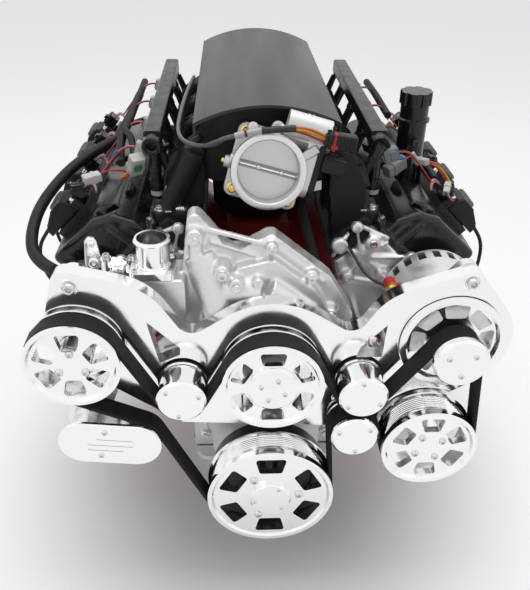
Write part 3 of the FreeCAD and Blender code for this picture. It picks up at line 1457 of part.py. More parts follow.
arm = body("tensioner_arm")
ends = [("tension_pivot_x", "tension_pivot_z", "24", 1), ("tension_x", "tension_z", "20", 1)]
pad(arm, loop(sketch(arm, lift="block_len + tension_arm_back"), ends), "tension_arm_front - tension_arm_back")
reach = "tension_stop - tension_arm_front"
pad(arm, circle(sketch(arm, lift="block_len + tension_arm_front"), "tension_pivot_x", "tension_pivot_z",
                "tension_boss_r"), reach)
pad(arm, circle(sketch(arm, lift="block_len + tension_arm_front"), "tension_x", "tension_z", "tension_pin_r"), reach)

lid = body("tensioner_cover")
ends = [("tension_pivot_x", "tension_pivot_z", "tension_cover_r", 1), ("tension_x", "tension_z", "tension_cover_r", 1)]
pad(lid, loop(sketch(lid, lift="block_len + tension_stop"), ends), "tension_cover_thick")
soften(lid, "1.5", lambda c, b: b.YLength < 0.01 and c.y < -val("block_len + tension_stop + 1"))

tight = body("tensioner_pulley")
turned(tight, [("tension_pin_r + running_fit", "rim_back + 4"), ("tension_rim", "rim_back + 4"),
               ("tension_rim", "tension_stop - 0.5"), ("tension_pin_r + running_fit", "tension_stop - 0.5")])
place(tight, "tension_x", "-block_len", "tension_z")

# Hoses, cables and leads held by the engine


def cord(name, points, radius, kept=False):
    made = doc.addObject("Part::Feature", name)
    front_face = val("block_len")
    made.Shape = swept([(x, y - front_face, z) for x, y, z in points], val(radius))
    return keep(made, name) if kept else made


# x, distance behind the front face of the block, and z
cord("coolant_hose", [(50, 108, 387), (53, 72, 352), (63, 28, 322), (72, -4, 288), (74, -20, 260), (66, -38, 240)],
     "hose_r", kept=True)
cord("throttle_cable", [(-66, 99, 447), (-76, 68, 452), (-112, 62, 456), (-131, 106, 457), (-130, 190, 462),
                        (-124, 290, 470), (-118, 390, 464)], "cable_r", kept=True)
cord("wiring_loom", [(-246, 262, 392), (-292, 190, 390), (-342, 112, 352), (-350, 46, 324), (-330, -14, 314),
                     (-296, -44, 316)], "loom_r", kept=True)

for side, first in ((1, "bore_first_right"), (-1, "bore_first_left")):
    for k in range(4):
        start = val(f"{first} + bore_pitch*{k} + boot_shift")
        end = val(f"coil_first + bore_pitch*{k}")
        way = ((92, 44), (126, 56), (130, 114), (112, 172), (76, 208), (32, 216))
        points = []
        for share, (across, rise) in zip((0, 0, 0.3, 0.7, 1, 1), way):
            x, z = bank(side, str(across), f"{deck} + {rise}")
            points.append((val(x), start + (end - start) * share, val(z)))
        leads.append(cord("lead", points, "lead_r"))
group(leads, "plug_leads")


doc.recompute()
broken = [item.Label for item in doc.Objects if "Invalid" in item.State or "Error" in item.State]
broken += [item.Label for item in nodes if item.Shape.isNull() or not item.Shape.isValid()]
if broken:
    raise RuntimeError(f"failed: {broken}")
os.makedirs("parts", exist_ok=True)
for item in nodes:
    item.Shape.exportStep(f"parts/{item.Label}.step")
print(len(nodes), "pieces")
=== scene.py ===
import math

import bmesh
import bpy
from mathutils import Matrix, Vector


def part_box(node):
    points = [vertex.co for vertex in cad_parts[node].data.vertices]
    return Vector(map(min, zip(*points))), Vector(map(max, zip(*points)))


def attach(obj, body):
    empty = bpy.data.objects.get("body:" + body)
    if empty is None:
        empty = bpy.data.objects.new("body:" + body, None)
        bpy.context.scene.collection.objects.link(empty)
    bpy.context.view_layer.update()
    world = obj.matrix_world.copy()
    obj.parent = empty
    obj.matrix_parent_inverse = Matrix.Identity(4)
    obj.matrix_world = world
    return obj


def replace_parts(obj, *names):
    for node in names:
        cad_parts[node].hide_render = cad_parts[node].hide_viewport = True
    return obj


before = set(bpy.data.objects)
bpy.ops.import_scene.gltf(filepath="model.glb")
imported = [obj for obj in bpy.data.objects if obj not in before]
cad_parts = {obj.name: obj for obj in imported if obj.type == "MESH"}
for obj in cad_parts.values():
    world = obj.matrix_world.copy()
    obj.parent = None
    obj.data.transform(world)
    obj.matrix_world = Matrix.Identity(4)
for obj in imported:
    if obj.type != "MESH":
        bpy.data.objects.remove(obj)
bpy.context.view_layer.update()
print("frame loaded:", len(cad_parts), "nodes")

mm = 0.001
engine = {"blockLength": 520}
front = (0, -1, 0)


def at(x, forward, z):
    # millimetres, with forward counted from the front face of the block
    return Vector((x, -engine["blockLength"] - forward, z)) * mm


def route(*spots):
    # (x, behind the front face, z) in millimetres
    return [at(x, -behind, z) for x, behind, z in spots]


def onBank(side, across, behind, along):
    # a place on a bank: across from its middle plane, along from the crank axis
    half = math.sqrt(0.5)
    return at(side * (along + across) * half, -behind, (along - across) * half)


def slide(x, y, z):
    # a move, in millimetres
    return Matrix.Translation(Vector((x, y, z)) * mm)


def addObject(name, data):
    obj = bpy.data.objects.new(name, data)
    bpy.context.collection.objects.link(obj)
    return obj


def bakedMesh(obj):
    # the mesh that obj shows with its modifiers and bevels; obj itself is removed
    bpy.context.view_layer.update()
    mesh = bpy.data.meshes.new_from_object(obj.evaluated_get(bpy.context.evaluated_depsgraph_get()))
    bpy.data.objects.remove(obj)
    return mesh


def addNode(tree, kind, values=None, **settings):
    # a node with its settings and with values on its inputs, by name or number
    node = tree.nodes.new(kind)
    for key, value in settings.items():
        setattr(node, key, value)
    for socket, value in (values or {}).items():
        node.inputs[socket].default_value = value
    return node


def join(source, output, target, socket):
    target.id_data.links.new(source.outputs[output], target.inputs[socket])


# Materials: every finish is built from noise in object coordinates

finishes = {}


def makeFinish(name, colour, metallic=0.0, roughness=0.5, grain=60.0, roughSpread=0.08, bump=0.0, bumpGrain=400.0,
               colourSpread=0.06, coat=0.0, stretch=(1, 1, 1), bumpDepth=0.0004, shine=0.5):
    mat = bpy.data.materials.new(name)
    mat.use_nodes = True
    tree = mat.node_tree
    shader = tree.nodes["Principled BSDF"]
    for socket, value in (("Metallic", metallic), ("Coat Weight", coat), ("Coat Roughness", 0.12),
                          ("Specular IOR Level", shine)):
        shader.inputs[socket].default_value = value
    place = addNode(tree, "ShaderNodeTexCoord")
    turn = addNode(tree, "ShaderNodeMapping", {"Scale": stretch})
    join(place, "Object", turn, "Vector")
    cloud = addNode(tree, "ShaderNodeTexNoise", {"Scale": grain, "Detail": 4})
    join(turn, "Vector", cloud, "Vector")
    darker = [c * (1 - colourSpread) for c in colour] + [1]
    lighter = [min(1, c * (1 + colourSpread)) for c in colour] + [1]
    tint = addNode(tree, "ShaderNodeMix", {6: darker, 7: lighter}, data_type="RGBA")
    join(cloud, "Fac", tint, 0)
    join(tint, 2, shader, "Base Color")
    spread = addNode(tree, "ShaderNodeMapRange", {"From Min": 0.3, "From Max": 0.7,
                                                  "To Min": max(0.02, roughness - roughSpread),
                                                  "To Max": min(1, roughness + roughSpread)})
    join(cloud, "Fac", spread, "Value")
    join(spread, "Result", shader, "Roughness")
    if bump:
        pits = addNode(tree, "ShaderNodeTexNoise", {"Scale": bumpGrain, "Detail": 3})
        join(turn, "Vector", pits, "Vector")
        relief = addNode(tree, "ShaderNodeBump", {"Strength": bump, "Distance": bumpDepth})
        join(pits, "Fac", relief, "Height")
        join(relief, "Normal", shader, "Normal")
    finishes[name] = mat


makeFinish("polishedBillet", (0.93, 0.93, 0.935), 1.0, 0.13, grain=35, roughSpread=0.04, bump=0.05, bumpGrain=90,
           colourSpread=0.02)
makeFinish("machinedBillet", (0.86, 0.86, 0.87), 1.0, 0.26, grain=80, roughSpread=0.06, bump=0.08, bumpGrain=500,
           colourSpread=0.03)
makeFinish("satinSilver", (0.62, 0.62, 0.63), 0.8, 0.34, grain=40, roughSpread=0.03, colourSpread=0.02)
makeFinish("castAluminium", (0.78, 0.78, 0.78), 0.85, 0.40, grain=45, roughSpread=0.10, bump=0.55, bumpGrain=650,
           colourSpread=0.08)
makeFinish("paleCasting", (0.83, 0.83, 0.81), 0.45, 0.42, grain=55, roughSpread=0.08, bump=0.45, bumpGrain=900,
           colourSpread=0.05)
makeFinish("redPaint", (0.44, 0.022, 0.014), 0.0, 0.34, grain=30, roughSpread=0.06, bump=0.25, bumpGrain=420,
           colourSpread=0.12, coat=0.5)
makeFinish("darkSteel", (0.32, 0.32, 0.33), 1.0, 0.34, grain=120, roughSpread=0.08, bump=0.12, bumpGrain=900)
makeFinish("brightSteel", (0.70, 0.70, 0.71), 1.0, 0.22, grain=160, roughSpread=0.06, bump=0.06, bumpGrain=900)
makeFinish("darkIron", (0.10, 0.10, 0.10), 0.6, 0.5, grain=80, roughSpread=0.08, bump=0.5, bumpGrain=700)
makeFinish("blackPaint", (0.014, 0.014, 0.015), 0.0, 0.36, grain=50, roughSpread=0.08, bump=0.22, bumpGrain=900,
           colourSpread=0.2, coat=0.1, shine=0.35)
makeFinish("blackNylon", (0.018, 0.018, 0.019), 0.0, 0.46, grain=70, roughSpread=0.08, bump=0.35, bumpGrain=1300,
           colourSpread=0.2, shine=0.28)
makeFinish("glossNylon", (0.012, 0.012, 0.013), 0.0, 0.24, grain=40, roughSpread=0.06, bump=0.05, bumpGrain=900,
           colourSpread=0.2, coat=0.15, shine=0.35)
makeFinish("greyCover", (0.045, 0.046, 0.049), 0.55, 0.40, grain=25, roughSpread=0.05, bump=0.10, bumpGrain=1400,
           colourSpread=0.10, stretch=(1, 0.15, 1))
makeFinish("beltRubber", (0.016, 0.016, 0.017), 0.0, 0.62, grain=90, roughSpread=0.10, bump=0.30, bumpGrain=1600,
           colourSpread=0.25, shine=0.22)
makeFinish("greyRubber", (0.20, 0.20, 0.21), 0.0, 0.5, grain=120, roughSpread=0.08, bump=0.2, bumpGrain=1500)
makeFinish("goldZinc", (0.86, 0.60, 0.20), 1.0, 0.28, grain=150, roughSpread=0.08, bump=0.06, bumpGrain=1200,
           colourSpread=0.15)
makeFinish("laminations", (0.17, 0.17, 0.175), 0.75, 0.4, grain=60, roughSpread=0.08, bump=0.7, bumpGrain=220,
           stretch=(0.05, 1, 0.05))
for wireName, wireColour in (("wireYellow", (0.80, 0.50, 0.03)), ("wireRed", (0.60, 0.03, 0.02)),
                             ("wireOrange", (0.75, 0.20, 0.03)), ("wireWhite", (0.78, 0.77, 0.73)),
                             ("wireBlack", (0.02, 0.02, 0.02)), ("wirePink", (0.72, 0.32, 0.38)),
                             ("plugWhite", (0.80, 0.79, 0.75)), ("plugRed", (0.62, 0.03, 0.02)),
                             ("plugGreen", (0.05, 0.28, 0.16)), ("plugGrey", (0.28, 0.29, 0.30)),
                             ("plugBlue", (0.08, 0.22, 0.42))):
    makeFinish(wireName, wireColour, 0.0, 0.42, grain=200, roughSpread=0.08, bump=0.1, bumpGrain=1800,
               colourSpread=0.08)

nodeFinish = {
    "redPaint": ["engine_block"],
    "castAluminium": ["front_cover", "rear_cover", "oil_pan", "cylinder_head_right", "cylinder_head_left",
                      "throttle_body", "throttle_gear_cover", "water_pump", "alternator_housing", "steering_pump"],
    "satinSilver": ["throttle_blade"],
    "polishedBillet": ["crank_pulley", "crank_pulley_cap", "water_pump_pulley",
                       "compressor_pulley", "steering_pulley", "alternator_pulley", "idler_pulley_left",
                       "idler_pulley_right", "idler_pulley_lower", "accessory_bracket", "coolant_neck",
                       "alternator_front_frame", "tensioner_cover", "compressor_body"],
    "machinedBillet": ["bracket_standoffs", "tensioner_base", "tensioner_arm", "tensioner_pulley"],
    "brightSteel": ["crankshaft", "camshaft", "dipstick"],
    "darkSteel": ["flexplate", "crank_sprocket", "cam_sprocket", "timing_chain"],
    "darkIron": ["main_bearing_caps", "head_gaskets"],
    "blackPaint": ["harmonic_damper", "oil_filter", "valve_cover_right", "valve_cover_left", "fuel_rails",
                   "coil_rails", "dipstick_tube"],
    "blackNylon": ["intake_manifold", "fuel_injectors", "throttle_connector", "ignition_coils_right",
                   "ignition_coils_left", "plug_leads"],
    "glossNylon": ["oil_filler_neck", "oil_filler_cap"],
    "greyCover": ["manifold_cover"],
    "beltRubber": ["drive_belt", "coolant_hose", "wiring_loom"],
    "greyRubber": ["throttle_cable"],
}
for finishName, nodeNames in nodeFinish.items():
    for nodeName in nodeNames:
        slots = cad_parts[nodeName].data.materials
        if not slots:
            slots.append(None)
        for index in range(len(slots)):
            slots[index] = finishes[finishName]
print("finishes:", len(finishes))


# Shared builders: each returns a finished object whose place is in its mesh


# five steel finishes mapped to the steel slot; the map is built and not kept, so no finish is given a slot here
dict.fromkeys(("brightSteel", "darkSteel", "goldZinc", "machinedBillet", "laminations"), "steel")


def finishObject(obj, finish, body, smooth=35, dressed=False):
    # dressed: a node tree has given the mesh its material already
    if not dressed:
        obj.data.materials.clear()
        obj.data.materials.append(finishes[finish])
    for face in obj.data.polygons:
        face.use_smooth = True
    obj.data.set_sharp_from_angle(angle=math.radians(smooth))
    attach(obj, body)
    return obj


def meshFrom(name, made):
    data = bpy.data.meshes.new(name)
    made.to_mesh(data)
    made.free()
    return data


def fromBmesh(name, made, finish, body="engine", smooth=35):
    bmesh.ops.remove_doubles(made, verts=made.verts, dist=1e-6)
    bmesh.ops.recalc_face_normals(made, faces=made.faces)
    return finishObject(addObject(name, meshFrom(name, made)), finish, body, smooth)


def frameAt(origin, normal, upHint=(0, 0, 1)):
    # a matrix whose z runs along normal and whose y leans to upHint
    zAxis = Vector(normal).normalized()
    xAxis = Vector(upHint).cross(zAxis)
    if xAxis.length < 1e-4:
        xAxis = Vector((1, 0, 0)).cross(zAxis)
    xAxis.normalize()
    yAxis = zAxis.cross(xAxis)
    turn = Matrix((xAxis, yAxis, zAxis)).transposed().to_4x4()
    return Matrix.Translation(origin) @ turn


def addStack(made, loops, matrix, closeStart=True, closeEnd=True):
    # loops of equal length, bridged in turn; each is a list of (x, y, z) in millimetres
    rings = [[made.verts.new(matrix @ (Vector(p) * mm)) for p in loop] for loop in loops]
    count = len(rings[0])
    for low, high in zip(rings, rings[1:]):
        for i in range(count):
            j = (i + 1) % count
            made.faces.new((low[i], low[j], high[j], high[i]))
    if closeStart:
        made.faces.new(rings[0][::-1])
    if closeEnd:
        made.faces.new(rings[-1])


def ringLoop(radius, z, count=32, sides=0, turn=0.0):
    # a circle, or a polygon with the same number of points when sides is set
    points = []
    for i in range(count):
        angle = 2 * math.pi * i / count
        reach = radius
        if sides:
            sector = math.pi / sides
            reach = radius * math.cos(sector) / math.cos((angle % (2 * sector)) - sector)
        points.append((reach * math.cos(angle + turn), reach * math.sin(angle + turn), z))
    return points


def roundedLoop(halfX, halfY, corner, z, steps=5):
    points = []
    for quarter, (sx, sy) in enumerate(((1, 1), (-1, 1), (-1, -1), (1, -1))):
        for i in range(steps + 1):
            angle = math.pi / 2 * (quarter + i / steps)
            points.append((sx * (halfX - corner) + corner * math.cos(angle),
                           sy * (halfY - corner) + corner * math.sin(angle), z))
    return points


def lathe(made, profile, matrix, count=48):
    # profile of (radius, height); one that comes back to its start is a ring, which needs no end faces
    solid = profile[0] != profile[-1]
    addStack(made, [ringLoop(max(r, 0.01), h, count) for r, h in profile], matrix, solid, solid)


def block(made, halfX, halfY, height, corner, matrix, bevel=0.6, steps=4):
    edge = max(corner - bevel, 0.05)
    loops = [roundedLoop(halfX - bevel, halfY - bevel, edge, 0, steps),
             roundedLoop(halfX, halfY, corner, bevel, steps),
             roundedLoop(halfX, halfY, corner, height - bevel, steps),
             roundedLoop(halfX - bevel, halfY - bevel, edge, height, steps)]
    addStack(made, loops, matrix)


def discLoop(discs, z=0.0, grow=0.0, steps=10):
    # the outline round discs (x, y, radius, turn), anticlockwise, offset outwards by grow
    sized = [(x, y, max(r + grow * t, 0.05), t) for x, y, r, t in discs]
    runs = []
    for (x, y, r, t), (x2, y2, r2, t2) in zip(sized, sized[1:] + sized[:1]):
        away = math.hypot(x2 - x, y2 - y)
        slant = math.atan2(y2 - y, x2 - x) - math.acos((r * t - r2 * t2) / away)
        runs.append(slant)
    points = []
    for i, (x, y, r, t) in enumerate(sized):
        start, end = runs[i - 1], runs[i]
        if t > 0:
            sweep = (end - start) % (2 * math.pi)
        else:
            sweep = -((start - end) % (2 * math.pi))
        for k in range(steps + 1):
            angle = start + sweep * k / steps
            points.append((x + r * t * math.cos(angle), y + r * t * math.sin(angle), z))
    return points


def curveMesh(points, steps, radius=0):
    # a smooth route through points in metres: a line of vertices, or a closed tube when radius is set
    data = bpy.data.curves.new("route", "CURVE")
    data.dimensions = "3D"
    if radius:
        data.bevel_depth = radius * mm
        data.bevel_resolution = 3
        data.use_fill_caps = True
    spline = data.splines.new("NURBS")
    spline.points.add(len(points) - 1)
    for point, place in zip(spline.points, points):
        point.co = (*place, 1)
    spline.use_endpoint_u = True
    spline.order_u = 3
    spline.resolution_u = steps
    return bakedMesh(addObject("route", data))


def tubeAlong(name, points, radius, finish, body="engine"):
    return finishObject(addObject(name, curveMesh(points, 6, radius)), finish, body, 60)


# Fasteners: one head of each kind, set out on points by a node tree


# rows of (radius, height, sides) for a head of radius 1, where 0 sides is round
headRows = {
    "socket": [(1.0, 0, 0), (1.0, 0.85, 0), (0.9, 1.0, 0), (0.62, 1.0, 6), (0.58, 0.9, 6), (0.58, 0.35, 6)],
    "hex": [(1.35, 0, 0), (1.35, 0.18, 0), (1.05, 0.3, 0), (1.0, 0.32, 6), (1.0, 1.0, 6), (0.82, 1.12, 0),
            (0.5, 1.12, 0), (0.42, 1.04, 0)],
    "torx": [(1.4, 0, 0), (1.4, 0.16, 0), (1.05, 0.3, 0), (1.0, 0.4, 0), (0.98, 0.95, 0), (0.86, 1.1, 0)],
    "button": [(1.0, 0, 0), (1.0, 0.14, 0), (0.92, 0.38, 0), (0.7, 0.56, 0), (0.46, 0.62, 6), (0.44, 0.56, 6),
               (0.44, 0.2, 6)]}


def headMesh(kind):
    made = bmesh.new()
    loops = [ringLoop(radius, height, sides=sides) for radius, height, sides in headRows[kind]]
    if kind == "torx":
        angles = [2 * math.pi * i / 32 for i in range(32)]
        for size, height in ((1, 1.1), (0.95, 0.5)):
            reach = [(0.52 + 0.09 * math.cos(6 * a)) * size for a in angles]
            loops.append([(r * math.cos(a), r * math.sin(a), height) for r, a in zip(reach, angles)])
    addStack(made, loops, Matrix.Scale(1000, 4))
    bmesh.ops.recalc_face_normals(made, faces=made.faces)
    data = meshFrom(kind + "Head", made)
    for face in data.polygons:
        face.use_smooth = True
    data.set_sharp_from_angle(angle=math.radians(35))
    return data


headObjects = {kind: bpy.data.objects.new(kind + "HeadSource", headMesh(kind)) for kind in headRows}


def newTree(name, inputs):
    # a geometry tree with named inputs, whose copies are made real and given the finish
    tree = bpy.data.node_groups.new(name, "GeometryNodeTree")
    for label, kind in [("Geometry", "Geometry"), *inputs, ("Finish", "Material")]:
        tree.interface.new_socket(label, in_out="INPUT", socket_type="NodeSocket" + kind)
    tree.interface.new_socket("Geometry", in_out="OUTPUT", socket_type="NodeSocketGeometry")
    source = addNode(tree, "NodeGroupInput")
    copies = addNode(tree, "GeometryNodeInstanceOnPoints")
    real = addNode(tree, "GeometryNodeRealizeInstances")
    dress = addNode(tree, "GeometryNodeSetMaterial")
    join(copies, "Instances", real, "Geometry")
    join(real, "Geometry", dress, "Geometry")
    join(source, "Finish", dress, "Material")
    join(dress, "Geometry", addNode(tree, "NodeGroupOutput"), "Geometry")
    return tree, source, copies


def headTree():
    tree, source, copies = newTree("headsOnPoints", [("Head", "Object"), ("Spin Seed", "Int")])
    head = addNode(tree, "GeometryNodeObjectInfo", {"As Instance": True})
    axis = addNode(tree, "GeometryNodeInputNamedAttribute", {"Name": "axis"}, data_type="FLOAT_VECTOR")
    radius = addNode(tree, "GeometryNodeInputNamedAttribute", {"Name": "headRadius"}, data_type="FLOAT")
    aim = addNode(tree, "FunctionNodeAlignRotationToVector", axis="Z")
    chance = addNode(tree, "FunctionNodeRandomValue", {3: math.pi}, data_type="FLOAT")
    twist = addNode(tree, "ShaderNodeCombineXYZ")
    spun = addNode(tree, "FunctionNodeRotateRotation", rotation_space="LOCAL")
    points = addNode(tree, "GeometryNodeMeshToPoints")
    for link in ((source, "Head", head, "Object"), (axis, "Attribute", aim, "Vector"),
                 (source, "Spin Seed", chance, "Seed"), (chance, 1, twist, "Z"), (aim, "Rotation", spun, "Rotation"),
                 (twist, "Vector", spun, "Rotate By"), (source, "Geometry", points, "Mesh"),
                 (points, "Points", copies, "Points"), (head, "Geometry", copies, "Instance"),
                 (spun, "Rotation", copies, "Rotation"), (radius, "Attribute", copies, "Scale")):
        join(*link)
    return tree


def rowTree():
    tree, source, copies = newTree("copiesInRow", [("Count", "Int"), ("Step", "Vector")])
    line = addNode(tree, "GeometryNodeMeshLine", mode="OFFSET")
    for link in ((source, "Count", line, "Count"), (source, "Step", line, "Offset"), (line, "Mesh", copies, "Points"),
                 (source, "Geometry", copies, "Instance")):
        join(*link)
    return tree


trees = {"heads": headTree(), "row": rowTree()}


def runTree(name, mesh, kind, values, finish, body):
    # evaluates a node tree on a mesh and keeps the result as a plain mesh
    holder = addObject(name + "Holder", mesh)
    modifier = holder.modifiers.new("tree", "NODES")
    modifier.node_group = trees[kind]
    values["Finish"] = finishes[finish]
    for item in trees[kind].interface.items_tree:
        if item.item_type == "SOCKET" and item.in_out == "INPUT" and item.name in values:
            modifier[item.identifier] = values[item.name]
    return finishObject(addObject(name, bakedMesh(holder)), finish, body, dressed=True)


def setHeads(name, kind, spots, finish="brightSteel", body="engine", seed=1):
    # spots of (place in metres, direction, head radius in millimetres)
    mesh = bpy.data.meshes.new(name + "Points")
    mesh.from_pydata([spot[0] for spot in spots], [], [])
    mesh.attributes.new("axis", "FLOAT_VECTOR", "POINT")
    mesh.attributes.new("headRadius", "FLOAT", "POINT")
    for i, (place, direction, reach) in enumerate(spots):
        mesh.attributes["axis"].data[i].vector = Vector(direction).normalized()
        mesh.attributes["headRadius"].data[i].value = reach * mm
    return runTree(name, mesh, "heads", {"Head": headObjects[kind], "Spin Seed": seed}, finish, body)


# Belt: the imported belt's run, with eight ribs on the side that drives the pulleys

belt = {"middle": 153, "width": 28.5, "thick": 4.5, "gap": 0.3, "ribs": 8, "ribDepth": 1.4,
        "drive": [(0, 0, 89, 1), (116, 117.5, 31, -1), (224, 94, 64, 1), (244, 249, 29, 1), (122, 190, 31, -1),
                  (0, 205, 65, 1), (-122, 190, 31, -1), (-259, 247, 59, 1), (-189, 107, 33, -1)]}
beltRun = [(x, z, r if turn > 0 else r + belt["thick"] + 2 * belt["gap"], turn) for x, z, r, turn in belt["drive"]]
beltBack = belt["middle"] - belt["width"] / 2
beltFront = belt["middle"] + belt["width"] / 2
ribPitch = belt["width"] / belt["ribs"]
beltSection = [(beltBack, belt["thick"] - 0.4), (beltBack + 0.4, belt["thick"]), (beltFront - 0.4, belt["thick"]),
               (beltFront, belt["thick"] - 0.4)]
for rib in range(belt["ribs"], 0, -1):
    ribTop = beltBack + rib * ribPitch
    beltSection += [(ribTop - 0.2, 0.3), (ribTop - ribPitch / 2 + 0.35, -belt["ribDepth"]),
                    (ribTop - ribPitch / 2 - 0.35, -belt["ribDepth"]), (ribTop - ribPitch + 0.2, 0.3)]
beltLoops = [[(x, -forward, z) for x, z, _ in discLoop(beltRun, grow=belt["gap"] + lift, steps=9)]
             for forward, lift in beltSection]
beltMade = bmesh.new()
addStack(beltMade, beltLoops + beltLoops[:1], Matrix.Translation(at(0, 0, 0)), False, False)
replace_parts(fromBmesh("ribbedBelt", beltMade, "beltRubber", smooth=30), "drive_belt")
print("belt laid")


# Castings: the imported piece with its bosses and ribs, melted into one skin with soft edges


def casting(name, node, finish, voxel, addForms=None, rounds=3, keepSharp=40):
    made = bmesh.new()
    made.from_mesh(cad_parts[node].data)
    bmesh.ops.remove_doubles(made, verts=made.verts, dist=1e-6)
    if addForms:
        extra = bmesh.new()
        addForms(extra)
        bmesh.ops.recalc_face_normals(extra, faces=extra.faces)
        forms = meshFrom(name + "Forms", extra)
        made.from_mesh(forms)
        bpy.data.meshes.remove(forms)
    obj = addObject(name, meshFrom(name, made))
    melt = obj.modifiers.new("melt", "REMESH")
    melt.mode = "VOXEL"
    melt.voxel_size = voxel * mm
    melt.use_smooth_shade = True
    ease = obj.modifiers.new("ease", "SMOOTH")
    ease.factor = 0.5
    ease.iterations = rounds
    cast = addObject(name, bakedMesh(obj))
    finishObject(cast, finish, "engine", keepSharp)
    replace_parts(cast, node)


def rod(made, start, end, radius, endRadius=None, count=28):
    # a round form from start to end, both in metres
    endRadius = radius if endRadius is None else endRadius
    length = (end - start).length / mm
    lathe(made, [(0, 0), (radius, 0), (endRadius, length), (0, length)], frameAt(start, end - start), count)


def bar(made, start, end, width, tall, upHint=(0, 0, 1), corner=1.5):
    # a flat-sided form from start to end, width across and tall along upHint
    length = (end - start).length / mm
    block(made, width / 2, tall / 2, length, corner, frameAt(start, end - start, upHint), 0.5, 3)


# Pulley screws: name, body, (x, z, forward), ring of (radius, first angle, step, count), head radius

pulleyScrews = [("crankPulley", "crank", (0, 0, 175), (42, 5, 120, 3), 6.2),
                ("crankCap", "crank", (0, 0, 181.9), (24, 62, 125, 3), 3.0),
                ("pumpCap", "water_pump_drive", (0, 205, 175.8), (17, -22, 90, 4), 3.6),
                ("compressor", "compressor_drive", (-259, 247, 169), (19.5, 90, 120, 3), 5.6),
                ("steering", "steering_drive", (224, 94, 175), (21.5, 32, 90, 4), 5.2),
                ("alternatorCap", "alternator_drive", (244, 249, 181.8), (20, 35, 120, 3), 4.0),
                ("leftIdler", "idler_left", (-122, 190, 177.9), (25, 20, 120, 3), 3.4),
                ("rightIdler", "idler_right", (122, 190, 177.9), (25, 95, 120, 3), 3.4),
                ("lowerIdler", "idler_lower", (116, 117.5, 177.9), (25, 35, 120, 3), 3.4)]
for screwName, screwBody, (x, z, forward), (radius, first, stepAngle, count), reach in pulleyScrews:
    angles = [math.radians(first + stepAngle * i) for i in range(count)]
    setHeads(screwName + "Screws", "button",
             [(at(x + radius * math.cos(a), forward, z + radius * math.sin(a)), front, reach) for a in angles],
             body=screwBody)

idlerX, idlerZ = 122, 190
# two black seal rings behind the polished neck of each upper idler
for side, sideName in ((-1, "left"), (1, "right")):
    made = bmesh.new()
    for forward, radius in ((131.2, 34.2), (136.2, 32.4)):
        lathe(made, [(radius - 3, 0), (radius, 0), (radius + 0.6, 0.7), (radius, 1.6), (radius - 3, 1.6),
                     (radius - 3, 0)], frameAt(at(side * idlerX, forward, idlerZ), front))
    fromBmesh(sideName + "IdlerRings", made, "beltRubber", "idler_" + sideName)
print("pulleys dressed")

# Accessory plate: bolts in ringed recesses

plateBolts = [(-256, 342, 7.5), (256, 342, 7.5)]
setHeads("plateEarBolts", "socket", [(at(x, 128.9, z), front, r) for x, z, r in plateBolts])
setHeads("plateBolts", "button", [(at(x, 128.9, z), front, r) for x, z, r in
                                  ((136, 252, 6.5), (-92, 150, 5.5), (92, 150, 5.5))])
ringMade = bmesh.new()
for x, z, r in plateBolts:
    lathe(ringMade, [(r + 1.6, 0), (r + 4.2, 0), (r + 4.2, 1.6), (r + 3.4, 2.2), (r + 2.2, 2.2), (r + 1.6, 1.6),
                     (r + 1.6, 0)], frameAt(at(x, 128.8, z), front), 40)
fromBmesh("earBoltRings", ringMade, "polishedBillet")


# Tensioner cover: two screws and three engraved lines

tensionerLines = [(-2, 62, 0.0), (8.5, 50, 6), (-11.5, 50, -6)]
coverStart, coverEnd = Vector((-258.6, 115)), Vector((-189, 107))
coverRun = (coverEnd - coverStart).normalized()
coverAcross = Vector((-coverRun.y, coverRun.x))
coverMiddle = (coverStart + coverEnd) / 2


def onCover(along, across):
    spot = coverMiddle + coverRun * along + coverAcross * across
    return at(spot.x, 172.9, spot.y)


setHeads("tensionerCoverScrews", "button", [(onCover(a, b), front, 4.2) for a, b in ((-8, 22), (-12, -21))],
         body="tensioner")
lineMade = bmesh.new()
for across, length, shift in tensionerLines:
    bar(lineMade, onCover(shift - length / 2, across), onCover(shift + length / 2, across), 1.1, 0.5, front, 0.24)
fromBmesh("tensionerCoverLines", lineMade, "darkSteel", body="tensioner")


# Water pump casting: bolt bosses of (x, z, reach, radius)

pumpBosses = [(-65.6, 337, 96, 11), (-47.5, 323, 104, 10), (0, 365, 80, 8), (-18, 324, 100, 7), (55, 321, 80, 9.5),
              (84, 262, 84, 9), (92, 232, 80, 9)]
# tower, spine, shoulders and elbow as rods of (start, end, radius, end radius), then ribs of (start, end, width, tall)
pumpRods = [((-100, 30, 384), (-100, 86, 384), 13.5, 11.5), ((-100, 60, 384), (-100, 74, 345), 10, 9),
            ((-95, 60, 350), (-60, 88, 250), 22, 26), ((-60, 88, 250), (-46, 84, 200), 26, 24),
            ((-75, 66, 300), (-10, 78, 300), 24, 30), ((-10, 78, 300), (52, 72, 262), 30, 25),
            ((52, 72, 262), (62, 78, 205), 25, 21), ((-20, 66, 330), (35, 66, 305), 20, 16)]
pumpRibs = [((-96, 64, 392), (6, 64, 362), 6, 9), ((6, 64, 362), (74, 64, 306), 6, 9),
            ((-82, 64, 372), (-6, 64, 345), 5, 12), ((-6, 64, 345), (56, 64, 304), 5, 12)]


def pumpForms(made):
    # with the bolt bosses and the ribs of the outlet box
    for start, end, radius, endRadius in pumpRods:
        rod(made, at(*start), at(*end), radius, endRadius)
    for x, z, reach, radius in pumpBosses:
        rod(made, at(x, 60, z), at(x, reach, z), radius + 1.5, radius)
    for start, end, width, tall in pumpRibs:
        bar(made, at(*start), at(*end), width, tall, front, 1)
    for x in (-178, -122):
        bar(made, at(x, 58, 262), at(x, 58, 322), 5, 62, front, 1)


